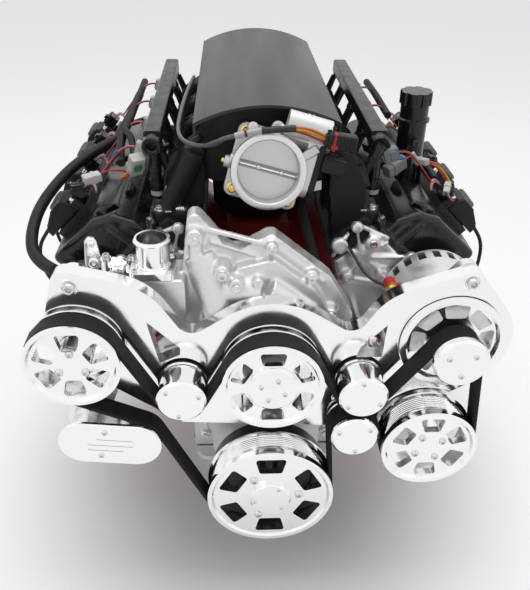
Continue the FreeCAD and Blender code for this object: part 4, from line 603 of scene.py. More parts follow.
casting("pumpCasting", "water_pump", "castAluminium", 2.0, pumpForms, 4)
setHeads("pumpBolts", "torx", [(at(x, reach - 0.6, z), front, radius * 0.62) for x, z, reach, radius in pumpBosses
                               if z not in (323, 324)])
setHeads("pumpStudNut", "hex", [(at(-47.5, 103.4, 323), front, 6.6)], seed=3)
setHeads("pumpTowerBolt", "hex", [(at(-100, 85.5, 384), front, 6.0)], seed=5)
neckMade = bmesh.new()
lathe(neckMade, [(20.2, 0), (24.6, 0), (25.1, 1.2), (24.6, 2.6), (22.7, 4.2), (20.2, 4.2), (20.2, 0)],
      frameAt(at(-158, 60, 370.5), (0, 0, 1)))
lathe(neckMade, [(22.4, 0), (24.2, 0), (23.6, 2.2), (22.4, 3.4), (22.4, 0)], frameAt(at(-158, 60, 335), (0, 0, 1)))
fromBmesh("neckBead", neckMade, "polishedBillet")
setHeads("neckFlangeBolts", "socket", [(at(-158 + x, 60 + y, 334.9), (0, 0, 1), 3.8) for x, y in
                                       ((-23, 23), (23, -23), (23, 23), (-23, -23))])
print("water pump cast")


# Throttle: cast body, gold screws, blade screws, wires and tab

tipTurn = Matrix.Rotation(math.radians(-13), 4, "X") @ Matrix.Rotation(math.radians(15), 4, "Y")
throttlePlace = Matrix.Translation(at(0, -22, 431)) @ tipTurn


def onThrottle(x, y, z):
    return throttlePlace @ (Vector((x, y, z)) * mm)


def throttleWay(x, y, z):
    return (tipTurn @ Vector((x, y, z))).normalized()


throttleOut, throttleUp = throttleWay(0, -1, 0), throttleWay(0, 0, 1)
throttleLugs = ((-42, 42), (42, 42), (-42, -42), (42, -42))


def throttleForms(made):
    # nipple boss, tall boss behind the upper lug, motor ear and its end cap
    rod(made, onThrottle(-44, 30, -4), onThrottle(-63, 30, -4), 9.5, 8.5)
    rod(made, onThrottle(-30, 40, 40), onThrottle(-36, 10, 52), 8.5, 8)
    rod(made, onThrottle(-36, 10, 52), onThrottle(-36, 2, 52), 8.5, 7)
    bar(made, onThrottle(16, 20, 62), onThrottle(2, 20, 60), 22, 9, throttleUp, 2)
    rod(made, onThrottle(-2, 14, 60), onThrottle(-2, 26, 60), 9)
    rod(made, onThrottle(8, 14, 71), onThrottle(70, 14, 71), 18, 17.4, 48)
    bar(made, onThrottle(12, 24, 60), onThrottle(66, 24, 60), 30, 20, throttleUp, 3)
    rod(made, onThrottle(66, 28, 58), onThrottle(76, 28, 58), 18.4, 17.4)
    bar(made, onThrottle(40, 8, 30), onThrottle(58, 8, 48), 12, 8, throttleOut, 1.5)
    for lugX, lugZ in throttleLugs:
        rod(made, onThrottle(lugX, 47, lugZ), onThrottle(lugX, 60, lugZ), 12, 11)


casting("throttleCasting", "throttle_body", "paleCasting", 1.1, throttleForms, 2)
casting("gearCoverCasting", "throttle_gear_cover", "blackNylon", 1.0, rounds=2)
setHeads("throttleGoldScrews", "torx", [(onThrottle(x, 46.5, z), throttleOut, 5.6) for x, z in throttleLugs],
         "goldZinc", seed=2)
setHeads("nippleScrew", "torx", [(onThrottle(-62.5, 30, -4), throttleWay(-1, 0, 0), 4.0)], "goldZinc", seed=4)
lipMade = bmesh.new()
lathe(lipMade, [(43.5, -6), (43.7, 0.2), (45.0, 1.4), (50.4, 1.4), (52.6, 0.5), (53.4, -1.2), (53.4, -7), (50, -8),
                (43.5, -6)], frameAt(onThrottle(0, -0.4, 0), throttleOut), 128)
fromBmesh("throttleLip", lipMade, "castAluminium")
motorMade = bmesh.new()
for x in (34, 40):
    rod(motorMade, onThrottle(x, 14, 71), onThrottle(x + 1.6, 14, 71), 18.6, count=48)
fromBmesh("motorBands", motorMade, "paleCasting")
motorCapMade = bmesh.new()
rod(motorCapMade, onThrottle(69.6, 14, 71), onThrottle(73, 14, 71), 13, 12)
block(motorCapMade, 3, 3, 3.2, 0.8, frameAt(onThrottle(72, 2, 80), throttleWay(0, -1, 0.3)), 0.3)
block(motorCapMade, 3, 3, 3.2, 0.8, frameAt(onThrottle(66, -2, 74), throttleWay(0, -1, 0.3)), 0.3)
fromBmesh("motorCapDetails", motorCapMade, "blackNylon")

bladeMade = bmesh.new()
for lift in (3.1, -3.1):
    bar(bladeMade, onThrottle(-42, 22.6, lift), onThrottle(42, 22.6, lift), 2.6, 2.4, throttleOut, 1.1)
fromBmesh("bladeRidges", bladeMade, "darkSteel", body="blade")
slotMade = bmesh.new()
bar(slotMade, onThrottle(-41, 22.4, 0), onThrottle(41, 22.4, 0), 2.8, 1.2, throttleOut, 0.5)
fromBmesh("bladeSlot", slotMade, "machinedBillet", body="blade")
setHeads("bladeScrews", "button", [(onThrottle(x, 22.0, 0), throttleOut, 3.4) for x in (-14, 20)],
         body="blade", seed=6)

plugMade = bmesh.new()
for k in range(5):
    bar(plugMade, onThrottle(74 + k * 6, 13.6, 19), onThrottle(74 + k * 6, 13.6, 39), 2.2, 1.4, throttleOut, 0.5)
bar(plugMade, onThrottle(70, 26, 40.4), onThrottle(100, 26, 40.4), 12, 3, throttleUp, 1)
bar(plugMade, onThrottle(78, 26, 43.4), onThrottle(92, 26, 43.4), 7, 3.4, throttleUp, 1)
fromBmesh("connectorRibs", plugMade, "blackNylon")
tabMade = bmesh.new()
block(tabMade, 8, 7, 3.4, 1.2, frameAt(onThrottle(72, 22, -4), throttleWay(0.5, -1, 0)), 0.5)
fromBmesh("gearCoverTab", tabMade, "paleCasting")
# a thin black disc on the tab as painted shade of its hole
tabHoleShadeMade = bmesh.new()
lathe(tabHoleShadeMade, [(0, 0), (2.2, 0), (2.2, 0.5), (0, 0.5)],
      frameAt(onThrottle(73.2, 19.6, -4), throttleWay(0.5, -1, 0)), 20)
fromBmesh("gearCoverTabHole", tabHoleShadeMade, "blackNylon")

# the harness plug over the socket, its sleeves and bright wires along the motor
harnessPlug, harnessLock = bmesh.new(), bmesh.new()
plugPlace = frameAt(at(80, -29, 475), (1, 0, -0.16), (0, 0, 1))
block(harnessPlug, 9.5, 11, 40, 3, plugPlace, 1)
block(harnessPlug, 7.5, 8.5, 6, 2, plugPlace @ slide(0, 0, -4), 0.6)
for k in range(5):
    block(harnessPlug, 10.6, 8.6, 2, 0.5, plugPlace @ slide(0, 0, 17 + k * 4.6), 0.3)
fromBmesh("harnessPlug", harnessPlug, "blackNylon")
block(harnessLock, 10.4, 12.2, 3.4, 0.8, plugPlace @ slide(0, 0, 7), 0.4)
block(harnessLock, 11.2, 3, 9, 0.8, plugPlace @ slide(0, -6, 5), 0.4)
fromBmesh("harnessLock", harnessLock, "plugRed")
sleeveRuns = [("leadGrey", [(-88, 66, 453), (-74, 50, 464), (-58, 36, 476), (-44, 32, 480)], 3.3, "greyRubber"),
              ("leadWhite", [(-46, 32, 479.5), (-30, 30, 484), (-10, 30, 487.5)], 4.3, "wireWhite"),
              ("leadBand", [(-33, 30, 483.3), (-30, 30, 484)], 4.8, "wireBlack"),
              ("leadBlack", [(-10, 30, 487.5), (14, 29, 490), (36, 29, 490.5)], 4.6, "wireBlack"),
              ("leadOrange", [(34, 30, 491.5), (52, 29, 491), (68, 28, 485), (80, 28, 478)], 1.7, "wireOrange"),
              ("leadYellow", [(34, 28, 489.5), (50, 27, 488.5), (66, 26, 482), (80, 27, 475)], 1.7, "wireYellow"),
              ("leadRed", [(34, 29, 487.5), (48, 26, 485), (64, 25, 478), (80, 27, 471)], 1.7, "wireRed")]
for leadName, spots, reach, finish in sleeveRuns:
    tubeAlong(leadName, route(*spots), reach, finish)
print("throttle dressed")


# Banks: valve covers, coils and their leads, all set out in each bank's own frame


def bankFrame(side, across, behind, along):
    # x runs across the bank towards the exhaust, z out along the bores
    half = math.sqrt(0.5)
    xAxis = Vector((side * half, 0, -half))
    zAxis = Vector((side * half, 0, half))
    turn = Matrix((xAxis, zAxis.cross(xAxis), zAxis)).transposed().to_4x4()
    return Matrix.Translation(onBank(side, across, behind, along)) @ turn


def outOfBank(side):
    return (side, 0, 1)


def prism(made, profile, low, high, matrix, bevel=0.8):
    # a profile of (x, z) drawn along y, with its end edges eased
    middleX = sum(p[0] for p in profile) / len(profile)
    middleZ = sum(p[1] for p in profile) / len(profile)

    def inset(point):
        x, z = point
        reach = max(math.hypot(x - middleX, z - middleZ), 0.01)
        return (x - (x - middleX) / reach * bevel, z - (z - middleZ) / reach * bevel)

    eased = [inset(p) for p in profile]
    loops = [[(x, low, z) for x, z in eased], [(x, low + bevel, z) for x, z in profile],
             [(x, high - bevel, z) for x, z in profile], [(x, high, z) for x, z in eased]]
    addStack(made, loops, matrix)


bank = {"roof": 352, "boreFirst": {1: 80, -1: 104}, "borePitch": 111.76, "coilFirst": 130}
coilSpots = [bank["coilFirst"] + bank["borePitch"] * k for k in range(4)]
cover = {"start": 30, "end": 492, "boltFirst": 62, "boltApart": 199, "boltAcross": -84, "voxel": 2.9}
edgeRows = [cover["start"] + 12 + k * 105 for k in range(5)]
sides = ((1, "Right"), (-1, "Left"))


def bores(side):
    # how far behind the front face the bores of a bank lie
    return [bank["boreFirst"][side] + bank["borePitch"] * k for k in range(4)]


def coverForms(side):
    def add(made):
        roof, start, end = bank["roof"], cover["start"], cover["end"]
        # fill the hidden room, then flange, front ribs, crown lands and outer stiffeners
        prism(made, [(-104, -1), (-104, 28), (-98, 40), (-66, 42), (-62, 72), (18, 74), (18, -1)], 40, 482,
              bankFrameFlat(side, roof), 1)
        for across, width in ((-116, 12), (24, 10)):
            bar(made, onBank(side, across, start - 5, roof + 5),
                onBank(side, across, end + 3, roof + 5), width, 10, outOfBank(side), 2)
        for behind in (start - 3, end + 2):
            bar(made, onBank(side, -120, behind, roof + 5), onBank(side, 28, behind, roof + 5), 8, 10,
                outOfBank(side), 2)
        for across, tall in ((-96, 40), (-82, 56), (-4, 66), (10, 66)):
            bar(made, onBank(side, across, start - 1, roof + 2),
                onBank(side, across, start - 1, roof + tall), 3.4, 9, front, 1)
        for k in range(7):
            behind = start + 34 + k * 62
            bar(made, onBank(side, 23, behind, roof + 6), onBank(side, 23, behind, roof + 72), 5, 8, front, 1.5)
        for k in range(5):
            behind = cover["boltFirst"] + 44 + k * 92
            if k != 2:
                bar(made, onBank(side, -113, behind, roof + 4), onBank(side, -101, behind, roof + 52), 6, 9, front, 1.5)
        for behind in edgeRows:
            rod(made, onBank(side, 28, behind, roof + 1), onBank(side, 28, behind, roof + 14), 9, 8)
            rod(made, onBank(side, -119, behind + 14, roof + 1),
                onBank(side, -119, behind + 14, roof + 13), 8, 7)
    return add


def bankFrameFlat(side, along):
    # the bank frame with y always rearwards, from the block's front face
    frameHere = bankFrame(side, 0, 0, along)
    if side < 0:
        frameHere = frameHere @ Matrix.Diagonal((1, -1, 1, 1))
    return frameHere


for side, sideName in sides:
    casting("valveCover" + sideName, "valve_cover_" + sideName.lower(), "glossNylon", cover["voxel"],
            coverForms(side), 3, 50)
print("valve covers cast")

# Cover bolts in their pockets, and the flange screws along both edges
for side, sideName in sides:
    pocketSpots = [(onBank(side, cover["boltAcross"], cover["boltFirst"] + cover["boltApart"] * k, bank["roof"] + 44.5),
                    outOfBank(side), 7.5) for k in range(3)]
    setHeads("coverBolts" + sideName, "hex", pocketSpots, seed=7)
    edgeSpots = [(onBank(side, 28, behind, bank["roof"] + 14), outOfBank(side), 4.6) for behind in edgeRows]
    edgeSpots += [(onBank(side, -119, behind + 14, bank["roof"] + 13), outOfBank(side), 4.2) for behind in edgeRows]
    setHeads("coverEdgeBolts" + sideName, "hex", edgeSpots, "darkSteel", seed=8)
    # clips on the inboard side, as small black brackets
    clipMade = bmesh.new()
    for behind in (128, 236, 344, 452):
        place = bankFrame(side, -100, behind, bank["roof"] + 40) @ Matrix.Rotation(math.radians(-32), 4, "Y")
        block(clipMade, 6, 11, 16, 1.5, place, 0.6)
        block(clipMade, 3, 16, 4, 1.2, place @ slide(0, 0, 14), 0.5)
    fromBmesh("coverClips" + sideName, clipMade, "blackNylon")

# Ignition coils: a moulded body with a laminated core, a ribbed plug and its four leads

coil = {"foot": 441}


def coilBody():
    made = bmesh.new()
    # outer wedge over the boot, centre housing, inner tongue
    prism(made, [(6, 0), (34, 0), (33, 12), (26, 17), (8, 26), (0, 26)], -22, 22, Matrix(), 2)
    prism(made, [(-30, 0), (8, 0), (8, 25), (2, 29), (-24, 29), (-30, 22)], -24, 24, Matrix(), 2)
    prism(made, [(-46, 3), (-28, 3), (-28, 22), (-42, 20)], -14, 14, Matrix(), 1)
    for y in (-18, 18):
        lathe(made, [(0, 0), (7.5, 0), (7.5, 15), (6.6, 16), (0, 16)],
              slide(-36, y, 0), 24)
    for x in (10, 17, 24):
        top = 24 - (x - 10) * 0.45
        prism(made, [(x, 10), (x + 2.2, 10), (x + 2.2, top), (x, top + 1)], -19, 19, Matrix(), 0.4)
    for y in (-22.5, 22.5):
        prism(made, [(-26, 8), (2, 8), (2, 24), (-26, 24)], y - 1.6, y + 1.6, Matrix(), 0.4)
    return made


def coilCore():
    # thin steel sheets stacked along the coil
    made = bmesh.new()
    prism(made, [(-21, 25), (-1, 25), (-2.5, 33), (-7, 34.5), (-16, 34.5), (-20, 32)], -20, 20, Matrix(), 1.2)
    for k in range(9):
        y = -18 + k * 4.5
        prism(made, [(-21.5, 25), (-0.5, 25), (-2, 33.4), (-6.8, 35), (-16.2, 35), (-20.4, 32.6)], y - 0.9, y + 0.9,
              Matrix(), 0.3)
    return made


def coilPlug():
    made = bmesh.new()
    prism(made, [(-62, 6), (-40, 6), (-40, 27), (-62, 24)], -13, 13, Matrix(), 1.2)
    for k in range(5):
        y = -10 + k * 5
        prism(made, [(-61, 23), (-44, 25), (-44, 28.4), (-61, 26)], y - 1.1, y + 1.1, Matrix(), 0.3)
    for y in (-13.6, 13.6):
        prism(made, [(-59, 10), (-44, 10), (-44, 22), (-59, 20)], y - 1.3, y + 1.3, Matrix(), 0.3)
    prism(made, [(-56, 26), (-46, 27.5), (-46, 31), (-52, 31)], -5, 5, Matrix(), 0.6)
    return made


def onEachCoil(name, made, side, finish):
    # four copies along the bank, from the first coil's place
    bmesh.ops.transform(made, matrix=bankFrame(side, 0, bank["coilFirst"], coil["foot"]), verts=made.verts)
    bmesh.ops.recalc_face_normals(made, faces=made.faces)
    return runTree(name, meshFrom(name + "One", made), "row",
                   {"Count": len(coilSpots), "Step": [0, bank["borePitch"] * mm, 0]}, finish, "engine")


for side, sideName in sides:
    bodies = onEachCoil("coilBodies" + sideName, coilBody(), side, "blackNylon")
    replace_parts(bodies, "ignition_coils_" + sideName.lower())
    onEachCoil("coilCores" + sideName, coilCore(), side, "laminations")
    onEachCoil("coilPlugs" + sideName, coilPlug(), side, "glossNylon")
    screwSpots = [(onBank(side, -36, behind + y, coil["foot"] + 16), outOfBank(side), 4.4) for behind in coilSpots
                  for y in (-18, 18)]
    setHeads("coilScrews" + sideName, "hex", screwSpots, seed=9)
    leadNumber = 0
    for behind in coilSpots:
        for y, wire in ((-7.5, "wirePink"), (-2.5, "wireBlack"), (2.5, "wireWhite"), (7.5, "wireRed")):
            leadNumber += 1
            start = onBank(side, -61, behind + y, coil["foot"] + 15)
            tubeAlong("coilLead" + sideName + str(leadNumber),
                      [start, onBank(side, -71, behind + y, coil["foot"] + 15),
                       onBank(side, -80, behind + y * 0.5 - 10, coil["foot"] + 8),
                       onBank(side, -82, behind + y * 0.3 - 34, coil["foot"] + 2)],
                      1.3, wire)
print("coils set")

# Cords held along the engine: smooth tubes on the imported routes, some wound with ribs


def ribbedTube(name, points, radius, pitch, depth, count=14):
    # a corrugated sleeve: rings of two radii, evenly spaced along the spline
    line = curveMesh(points, 24)
    places = [v.co.copy() for v in line.vertices]
    bpy.data.meshes.remove(line)
    spots = [places[0]]
    carried = 0.0
    step = pitch * mm / 2
    for low, high in zip(places, places[1:]):
        run = (high - low).length
        while run > 0 and carried + run >= step:
            part = (step - carried) / run
            low = low.lerp(high, part)
            spots.append(low.copy())
            run = (high - low).length
            carried = 0.0
        carried += run
    up = Vector((0.13, 0.21, 0.97))
    loops = []
    for i, spot in enumerate(spots):
        ahead = (spots[min(i + 1, len(spots) - 1)] - spots[max(i - 1, 0)]).normalized()
        across = ahead.cross(up).normalized()
        up = across.cross(ahead).normalized()
        reach = (radius - (depth if i % 2 else 0)) * mm
        loops.append([(spot + (across * math.cos(a) + up * math.sin(a)) * reach) / mm
                      for a in (2 * math.pi * k / count for k in range(count))])
    made = bmesh.new()
    addStack(made, loops, Matrix())
    return fromBmesh(name, made, "blackNylon", smooth=60)


loom = ribbedTube("mainLoom", route((-246, 262, 392), (-292, 190, 390), (-342, 112, 352), (-350, 46, 324),
                                    (-330, -14, 314), (-296, -44, 316)), 9, 4.2, 0.9)
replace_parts(loom, "wiring_loom")
cable = tubeAlong("throttleCable", route((-66, 99, 447), (-76, 68, 452), (-112, 62, 456), (-131, 106, 457),
                                         (-130, 190, 462), (-124, 290, 470), (-118, 390, 464)), 3.2, "greyRubber")
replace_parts(cable, "throttle_cable")
hose = tubeAlong("coolantHose", route((50, 108, 387), (53, 72, 352), (63, 28, 322), (72, -4, 288), (74, -20, 260),
                                      (66, -38, 240)), 8, "beltRubber")
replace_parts(hose, "coolant_hose")
bundles = [
    ("leftRailLoom", [(-221, 505, 424), (-219, 420, 428), (-222, 340, 424), (-219, 230, 430), (-224, 150, 424),
                      (-214, 96, 416)], 6.5),
    ("leftLoomBack", [(-246, 262, 392), (-236, 300, 404), (-226, 350, 418), (-221, 420, 424)], 7.5),
    ("leftLoopLoom", [(-221, 196, 432), (-206, 160, 438), (-199, 128, 424), (-196, 104, 408), (-192, 92, 398)], 5.5),
    ("rightRailLoom", [(221, 505, 424), (219, 420, 430), (222, 330, 424), (219, 280, 428)], 6.5),
    ("rightCoilLoom", [(288, 480, 352), (284, 400, 358), (288, 300, 354), (284, 220, 358), (276, 150, 366)], 5.0)]
for bundleName, spots, reach in bundles:
    ribbedTube(bundleName, route(*spots), reach, 3.6, 0.7, count=12)
print("looms and hoses run")

# Injector plugs, splices and the bright wires between plugs and coils

for side, sideName in sides:
    shells, locks, sleeves = bmesh.new(), bmesh.new(), bmesh.new()
    for behind in bores(side):
        place = frameAt(at(side * 172, -behind, 431), (side, 0, 0.35), (0, 1, 0))
        block(shells, 10, 7.5, 21, 2, place, 0.8)
        block(shells, 7, 9, 9, 1.5, place @ slide(0, 0, 9), 0.6)
        block(locks, 5, 3, 8, 1, place @ slide(0, 7.5, 8), 0.4)
        block(locks, 7.5, 5.5, 3, 1, place @ slide(0, 0, 19.6), 0.4)
        rod(sleeves, at(side * 166, -behind, 451), at(side * 158, -behind, 432), 10.5, 9.5)
    fromBmesh("injectorPlugs" + sideName, shells, "plugWhite" if side < 0 else "plugGrey")
    fromBmesh("injectorLocks" + sideName, locks, "plugGreen" if side < 0 else "plugBlue")
    fromBmesh("injectorTops" + sideName, sleeves, "glossNylon")
    for k, behind in enumerate(bores(side)):
        plug = onBank(side, -80, coilSpots[k] - 10, coil["foot"] + 8)
        end = at(side * 190, -behind, 437)
        middle = (plug + end) / 2 + Vector((0, 0.006, 0.016))
        for shift, wire in ((-1.8, "wireRed"), (1.8, "wirePink" if side < 0 else "wireBlack")):
            push = Vector((0, shift * mm, 0))
            tubeAlong("injectorWire" + sideName + str(k) + wire,
                      [end + push, end + push + Vector((side * 0.012, 0, 0.004)), middle + push * 2, plug + push],
                      1.3, wire)
        splice = bmesh.new()
        away = (plug - middle).normalized()
        rod(splice, middle - away * 0.007, middle + away * 0.007, 3.0, 2.6, 16)
        fromBmesh("wireSplice" + sideName + str(k), splice, "plugBlue" if side < 0 else "plugWhite")

# front plugs: a white one on the left cover, a grey one with a blue latch on the right cover
loose = [("frontPlugLeft", (-246, 92, 398), (-1, -0.5, -0.1), (9, 6, 26), "plugWhite"),
         ("frontSpliceLeft", (-196, 96, 402), (0.3, -0.5, 1), (11, 8, 34), "plugWhite"),
         ("frontLockLeft", (-192, 88, 412), (0.3, -0.5, 1), (6, 8.4, 12), "plugGreen"),
         ("frontPlugRight", (183, 100, 398), (0.9, 0.5, 0.35), (9, 9, 34), "plugGrey"),
         ("frontLatchRight", (205, 112, 408), (0.9, 0.5, 0.35), (6, 9.6, 10), "plugBlue"),
         ("frontSpliceRight", (238, 152, 398), (0.6, -0.7, 0.1), (6, 5, 26), "plugWhite"),
         ("coilSpliceRight", (288, 118, 372), (-0.3, -0.8, -0.4), (5, 5, 22), "plugWhite")]
for plugName, (x, behind, z), way, (halfX, halfY, length), finish in loose:
    made = bmesh.new()
    place = frameAt(at(x, -behind, z), way)
    block(made, halfX, halfY, length, min(halfX, halfY) * 0.35, place, 0.8)
    block(made, halfX + 1, halfY + 1, length * 0.18, min(halfX, halfY) * 0.4,
          place @ slide(0, 0, length * 0.3), 0.5)
    fromBmesh(plugName, made, finish)
wires = [("wireRed", [(-262, 84, 392), (-240, 96, 404), (-222, 100, 404), (-205, 96, 402)]),
         ("wireWhite", [(-270, 84, 390), (-284, 90, 384), (-296, 108, 376), (-300, 128, 372)]),
         ("wireBlack", [(-268, 80, 392), (-282, 84, 388), (-298, 104, 380), (-303, 124, 374)]),
         ("wireYellow", [(-200, 92, 404), (-206, 82, 406), (-212, 84, 398), (-216, 92, 396)]),
         ("wireRed", [(-198, 88, 402), (-206, 78, 403), (-214, 82, 394), (-218, 92, 392)]),
         ("wireRed", [(213, 118, 410), (224, 132, 412), (232, 142, 406), (240, 150, 399)]),
         ("wireBlack", [(211, 122, 408), (222, 138, 409), (230, 148, 403), (239, 154, 397)]),
         ("wireRed", [(254, 140, 398), (266, 134, 396), (276, 130, 388), (285, 122, 376)]),
         ("wireOrange", [(256, 152, 396), (268, 142, 398), (280, 132, 390), (289, 120, 376)]),
         ("wireYellow", [(258, 150, 394), (272, 138, 395), (283, 128, 386), (291, 118, 374)]),
         ("wireWhite", [(284, 100, 362), (288, 96, 354), (296, 104, 348), (304, 118, 346)]),
         ("wireRed", [(281, 100, 364), (286, 92, 356), (294, 98, 350), (302, 112, 348)]),
         ("wireBlack", [(279, 102, 366), (282, 92, 360), (290, 94, 352), (300, 108, 350)])]
for wireNumber, (wire, spots) in enumerate(wires):
    tubeAlong("frontWire" + str(wireNumber), route(*spots), 1.4, wire)
print("plugs and wires set")

# Fuel rail ends, their down pipes and clamps

rail = {"across": 166, "pipe": 164}
railMade, bandMade, clampMade = bmesh.new(), bmesh.new(), bmesh.new()
for side in (1, -1):
    place = frameAt(at(side * rail["across"], -98, 448), (0, -1, -0.12))
    if side < 0:
        lathe(railMade, [(6.5, 0), (14.5, 0), (14.5, 17), (13, 19), (8, 19), (6.5, 17.5), (6.5, 0)], place, 40)
        lathe(railMade, [(0, 0), (7, 0), (7, 9), (0, 9)], place, 30)
    else:
        lathe(railMade, [(0, 0), (15, 0), (15, 15), (13.6, 17), (11, 17), (10.4, 16), (0, 16)], place, 40)
    lathe(railMade, [(0, 0), (15.6, 0), (15.6, 4), (0, 4)], place @ slide(0, 0, 3), 6)
    rod(railMade, at(side * rail["pipe"], -96, 440), at(side * rail["pipe"], -96, 362), 8.5, 8.5)
    rod(railMade, at(side * rail["pipe"], -96, 392), at(side * rail["pipe"], -96, 376), 10.5, 10.5)
    rod(bandMade, at(side * rail["pipe"], -96, 374), at(side * rail["pipe"], -96, 367), 9.8, 9.8)
    for behind in (160, 284, 408, 500):
        block(clampMade, 13.5, 7, 10, 2, frameAt(at(side * rail["across"], -behind, 434), (0, 0, 1), (0, 1, 0)), 1)
        rod(clampMade, at(side * 154, -behind, 438), at(side * 138, -behind, 398), 5.5, 7)
    block(clampMade, 7, 2.2, 14, 1, frameAt(at(side * 152, -104, 430), (side * -0.4, -0.2, 1)), 0.4)
fromBmesh("railEnds", railMade, "glossNylon")
fromBmesh("railBands", bandMade, "plugWhite")
fromBmesh("railClamps", clampMade, "blackPaint")

# Intake manifold: moulded ribs, feet with bolts, runner webs


def manifoldForms(made):
    for side in (1, -1):
        # front foot, then feet between the runners
        bar(made, at(side * 145, -62, 341), at(side * 145, -112, 341), 52, 20, (0, 0, 1), 6)
        rod(made, at(side * 160, -66, 331), at(side * 160, -66, 354), 12, 10.5)
        rod(made, at(side * 104, -84, 440), at(side * 146, -78, 352), 18, 16)
        for behind in bores(side):
            rod(made, at(side * 139, -behind, 402), at(side * 136, -behind, 380), 13, 16)
            for shift in (-12, 12):
                edge = -behind - shift
                bar(made, at(side * 95, edge, 458), at(side * 137, edge, 428), 3.5, 8, (0, 0, 1), 1)
                bar(made, at(side * 137, edge, 430), at(side * 152, edge, 388), 3.5, 8, (side, 0, 0.3), 1)
    for k in range(9):
        behind = 112 + k * 54
        bar(made, at(-88, -behind, 463), at(88, -behind, 463), 3.5, 7, (0, 0, 1), 1)


casting("manifoldMoulding", "intake_manifold", "blackNylon", 2.8, manifoldForms, 2, 45)
setHeads("manifoldBolts", "hex", [(at(side * 160, -66, 354), (0, 0, 1), 5.5) for side in (1, -1)], seed=12)
springMade = bmesh.new()
for side in (1, -1):
    for k in range(5):
        lathe(springMade, [(5.2, 0), (6.8, 0), (6.8, 1.7), (5.2, 1.7), (5.2, 0)],
              frameAt(at(side * (134 - k * 2.6), -70, 353.6), (-side * 0.9, 0, 0.35)), 18)
    block(springMade, 9, 5, 3, 1.5, frameAt(at(side * 146, -66, 353), (0, 0, 1)), 0.5)
fromBmesh("footSprings", springMade, "brightSteel")
print("manifold moulded")

# Oil neck: side nipple, strap and the rim under the cap

neck = {"x": 237, "behind": 184}
neckParts = bmesh.new()
rod(neckParts, at(neck["x"], -166, 424), at(neck["x"], -150, 424), 5.4, 5.0)
lathe(neckParts, [(3, 0), (6.4, 0), (6.4, 3), (5.2, 4.4), (3, 4.4), (3, 0)],
      frameAt(at(neck["x"], -154, 424), front), 24)
lathe(neckParts, [(22.6, 0), (25.4, 0), (25.4, 4), (22.6, 5.6), (22.6, 0)],
      frameAt(at(neck["x"], -neck["behind"], 452), (0, 0, 1)), 48)
bar(neckParts, at(neck["x"], -164, 352), at(neck["x"], -164, 412), 6, 6, front, 1.5)
for turn in (-0.9, 0.9):
    bar(neckParts, at(neck["x"] + 21 * turn, 16 - neck["behind"], 350),
        at(neck["x"] + 20 * turn, 16 - neck["behind"], 396), 4, 5, front, 1)
fromBmesh("oilNeckDetails", neckParts, "glossNylon")
print("oil neck dressed")

# Cylinder heads: cast front faces, exhaust flanges and studs

head = {"start": 16, "end": 504, "voxel": 2.7, "stud": 280, "studShifts": (-27, 27),
        "bosses": [(105, 322, 12), (153.6, 326.8, 10.5), (174.5, 271.8, 9.5), (128, 352, 8), (120, 268, 9),
                   (214, 300, 9)]}
deckBolts = [head["start"] + 16 + k * 114 for k in range(5)]
ribEnds = [boss[:2] for boss in head["bosses"]] + [(178, 326), (196, 262)]


def headForms(side):
    def add(made):
        # bosses and fanned ribs of the front and rear faces
        for face, out in ((head["start"], -1), (head["end"], 1)):
            start = -face - 2 * out
            hub = at(side * 139, start, 300)
            for x, z, r in head["bosses"]:
                rod(made, at(side * x, start, z), at(side * x, start - 11 * out, z), r + 1, r)
            for x, z in ribEnds:
                bar(made, hub, at(side * x, start, z), 5, 9, front, 1.5)
            rod(made, hub, at(side * 139, start - 2 * out, 300), 20, 14)
            for lowX, lowZ, highX, highZ in ((96, 300, 118, 340), (132, 352, 178, 330), (122, 262, 176, 252)):
                bar(made, at(side * lowX, start + out, lowZ), at(side * highX, start + out, highZ), 6, 8, front, 1.5)
        # exhaust flanges, deck edge and the ribs between the ports
        for k, behind in enumerate(bores(side)):
            for shift in head["studShifts"]:
                rod(made, onBank(side, 70, behind + shift, head["stud"]),
                    onBank(side, 85, behind + shift, head["stud"]), 10.5, 9.5)
            bar(made, onBank(side, 76, behind - 27, 302), onBank(side, 76, behind + 27, 302), 14, 8, (0, 0, 1), 2)
            if k < 3:
                bar(made, onBank(side, 78, behind + 56, 262), onBank(side, 58, behind + 56, 332), 7, 10, (0, 1, 0), 2)
        bar(made, onBank(side, 76, head["start"] + 4, 243), onBank(side, 76, head["end"] - 4, 243), 8, 10,
            outOfBank(side), 2)
        for behind in deckBolts:
            rod(made, onBank(side, 76, behind, 240), onBank(side, 76, behind, 258), 9.5, 8.5)
    return add


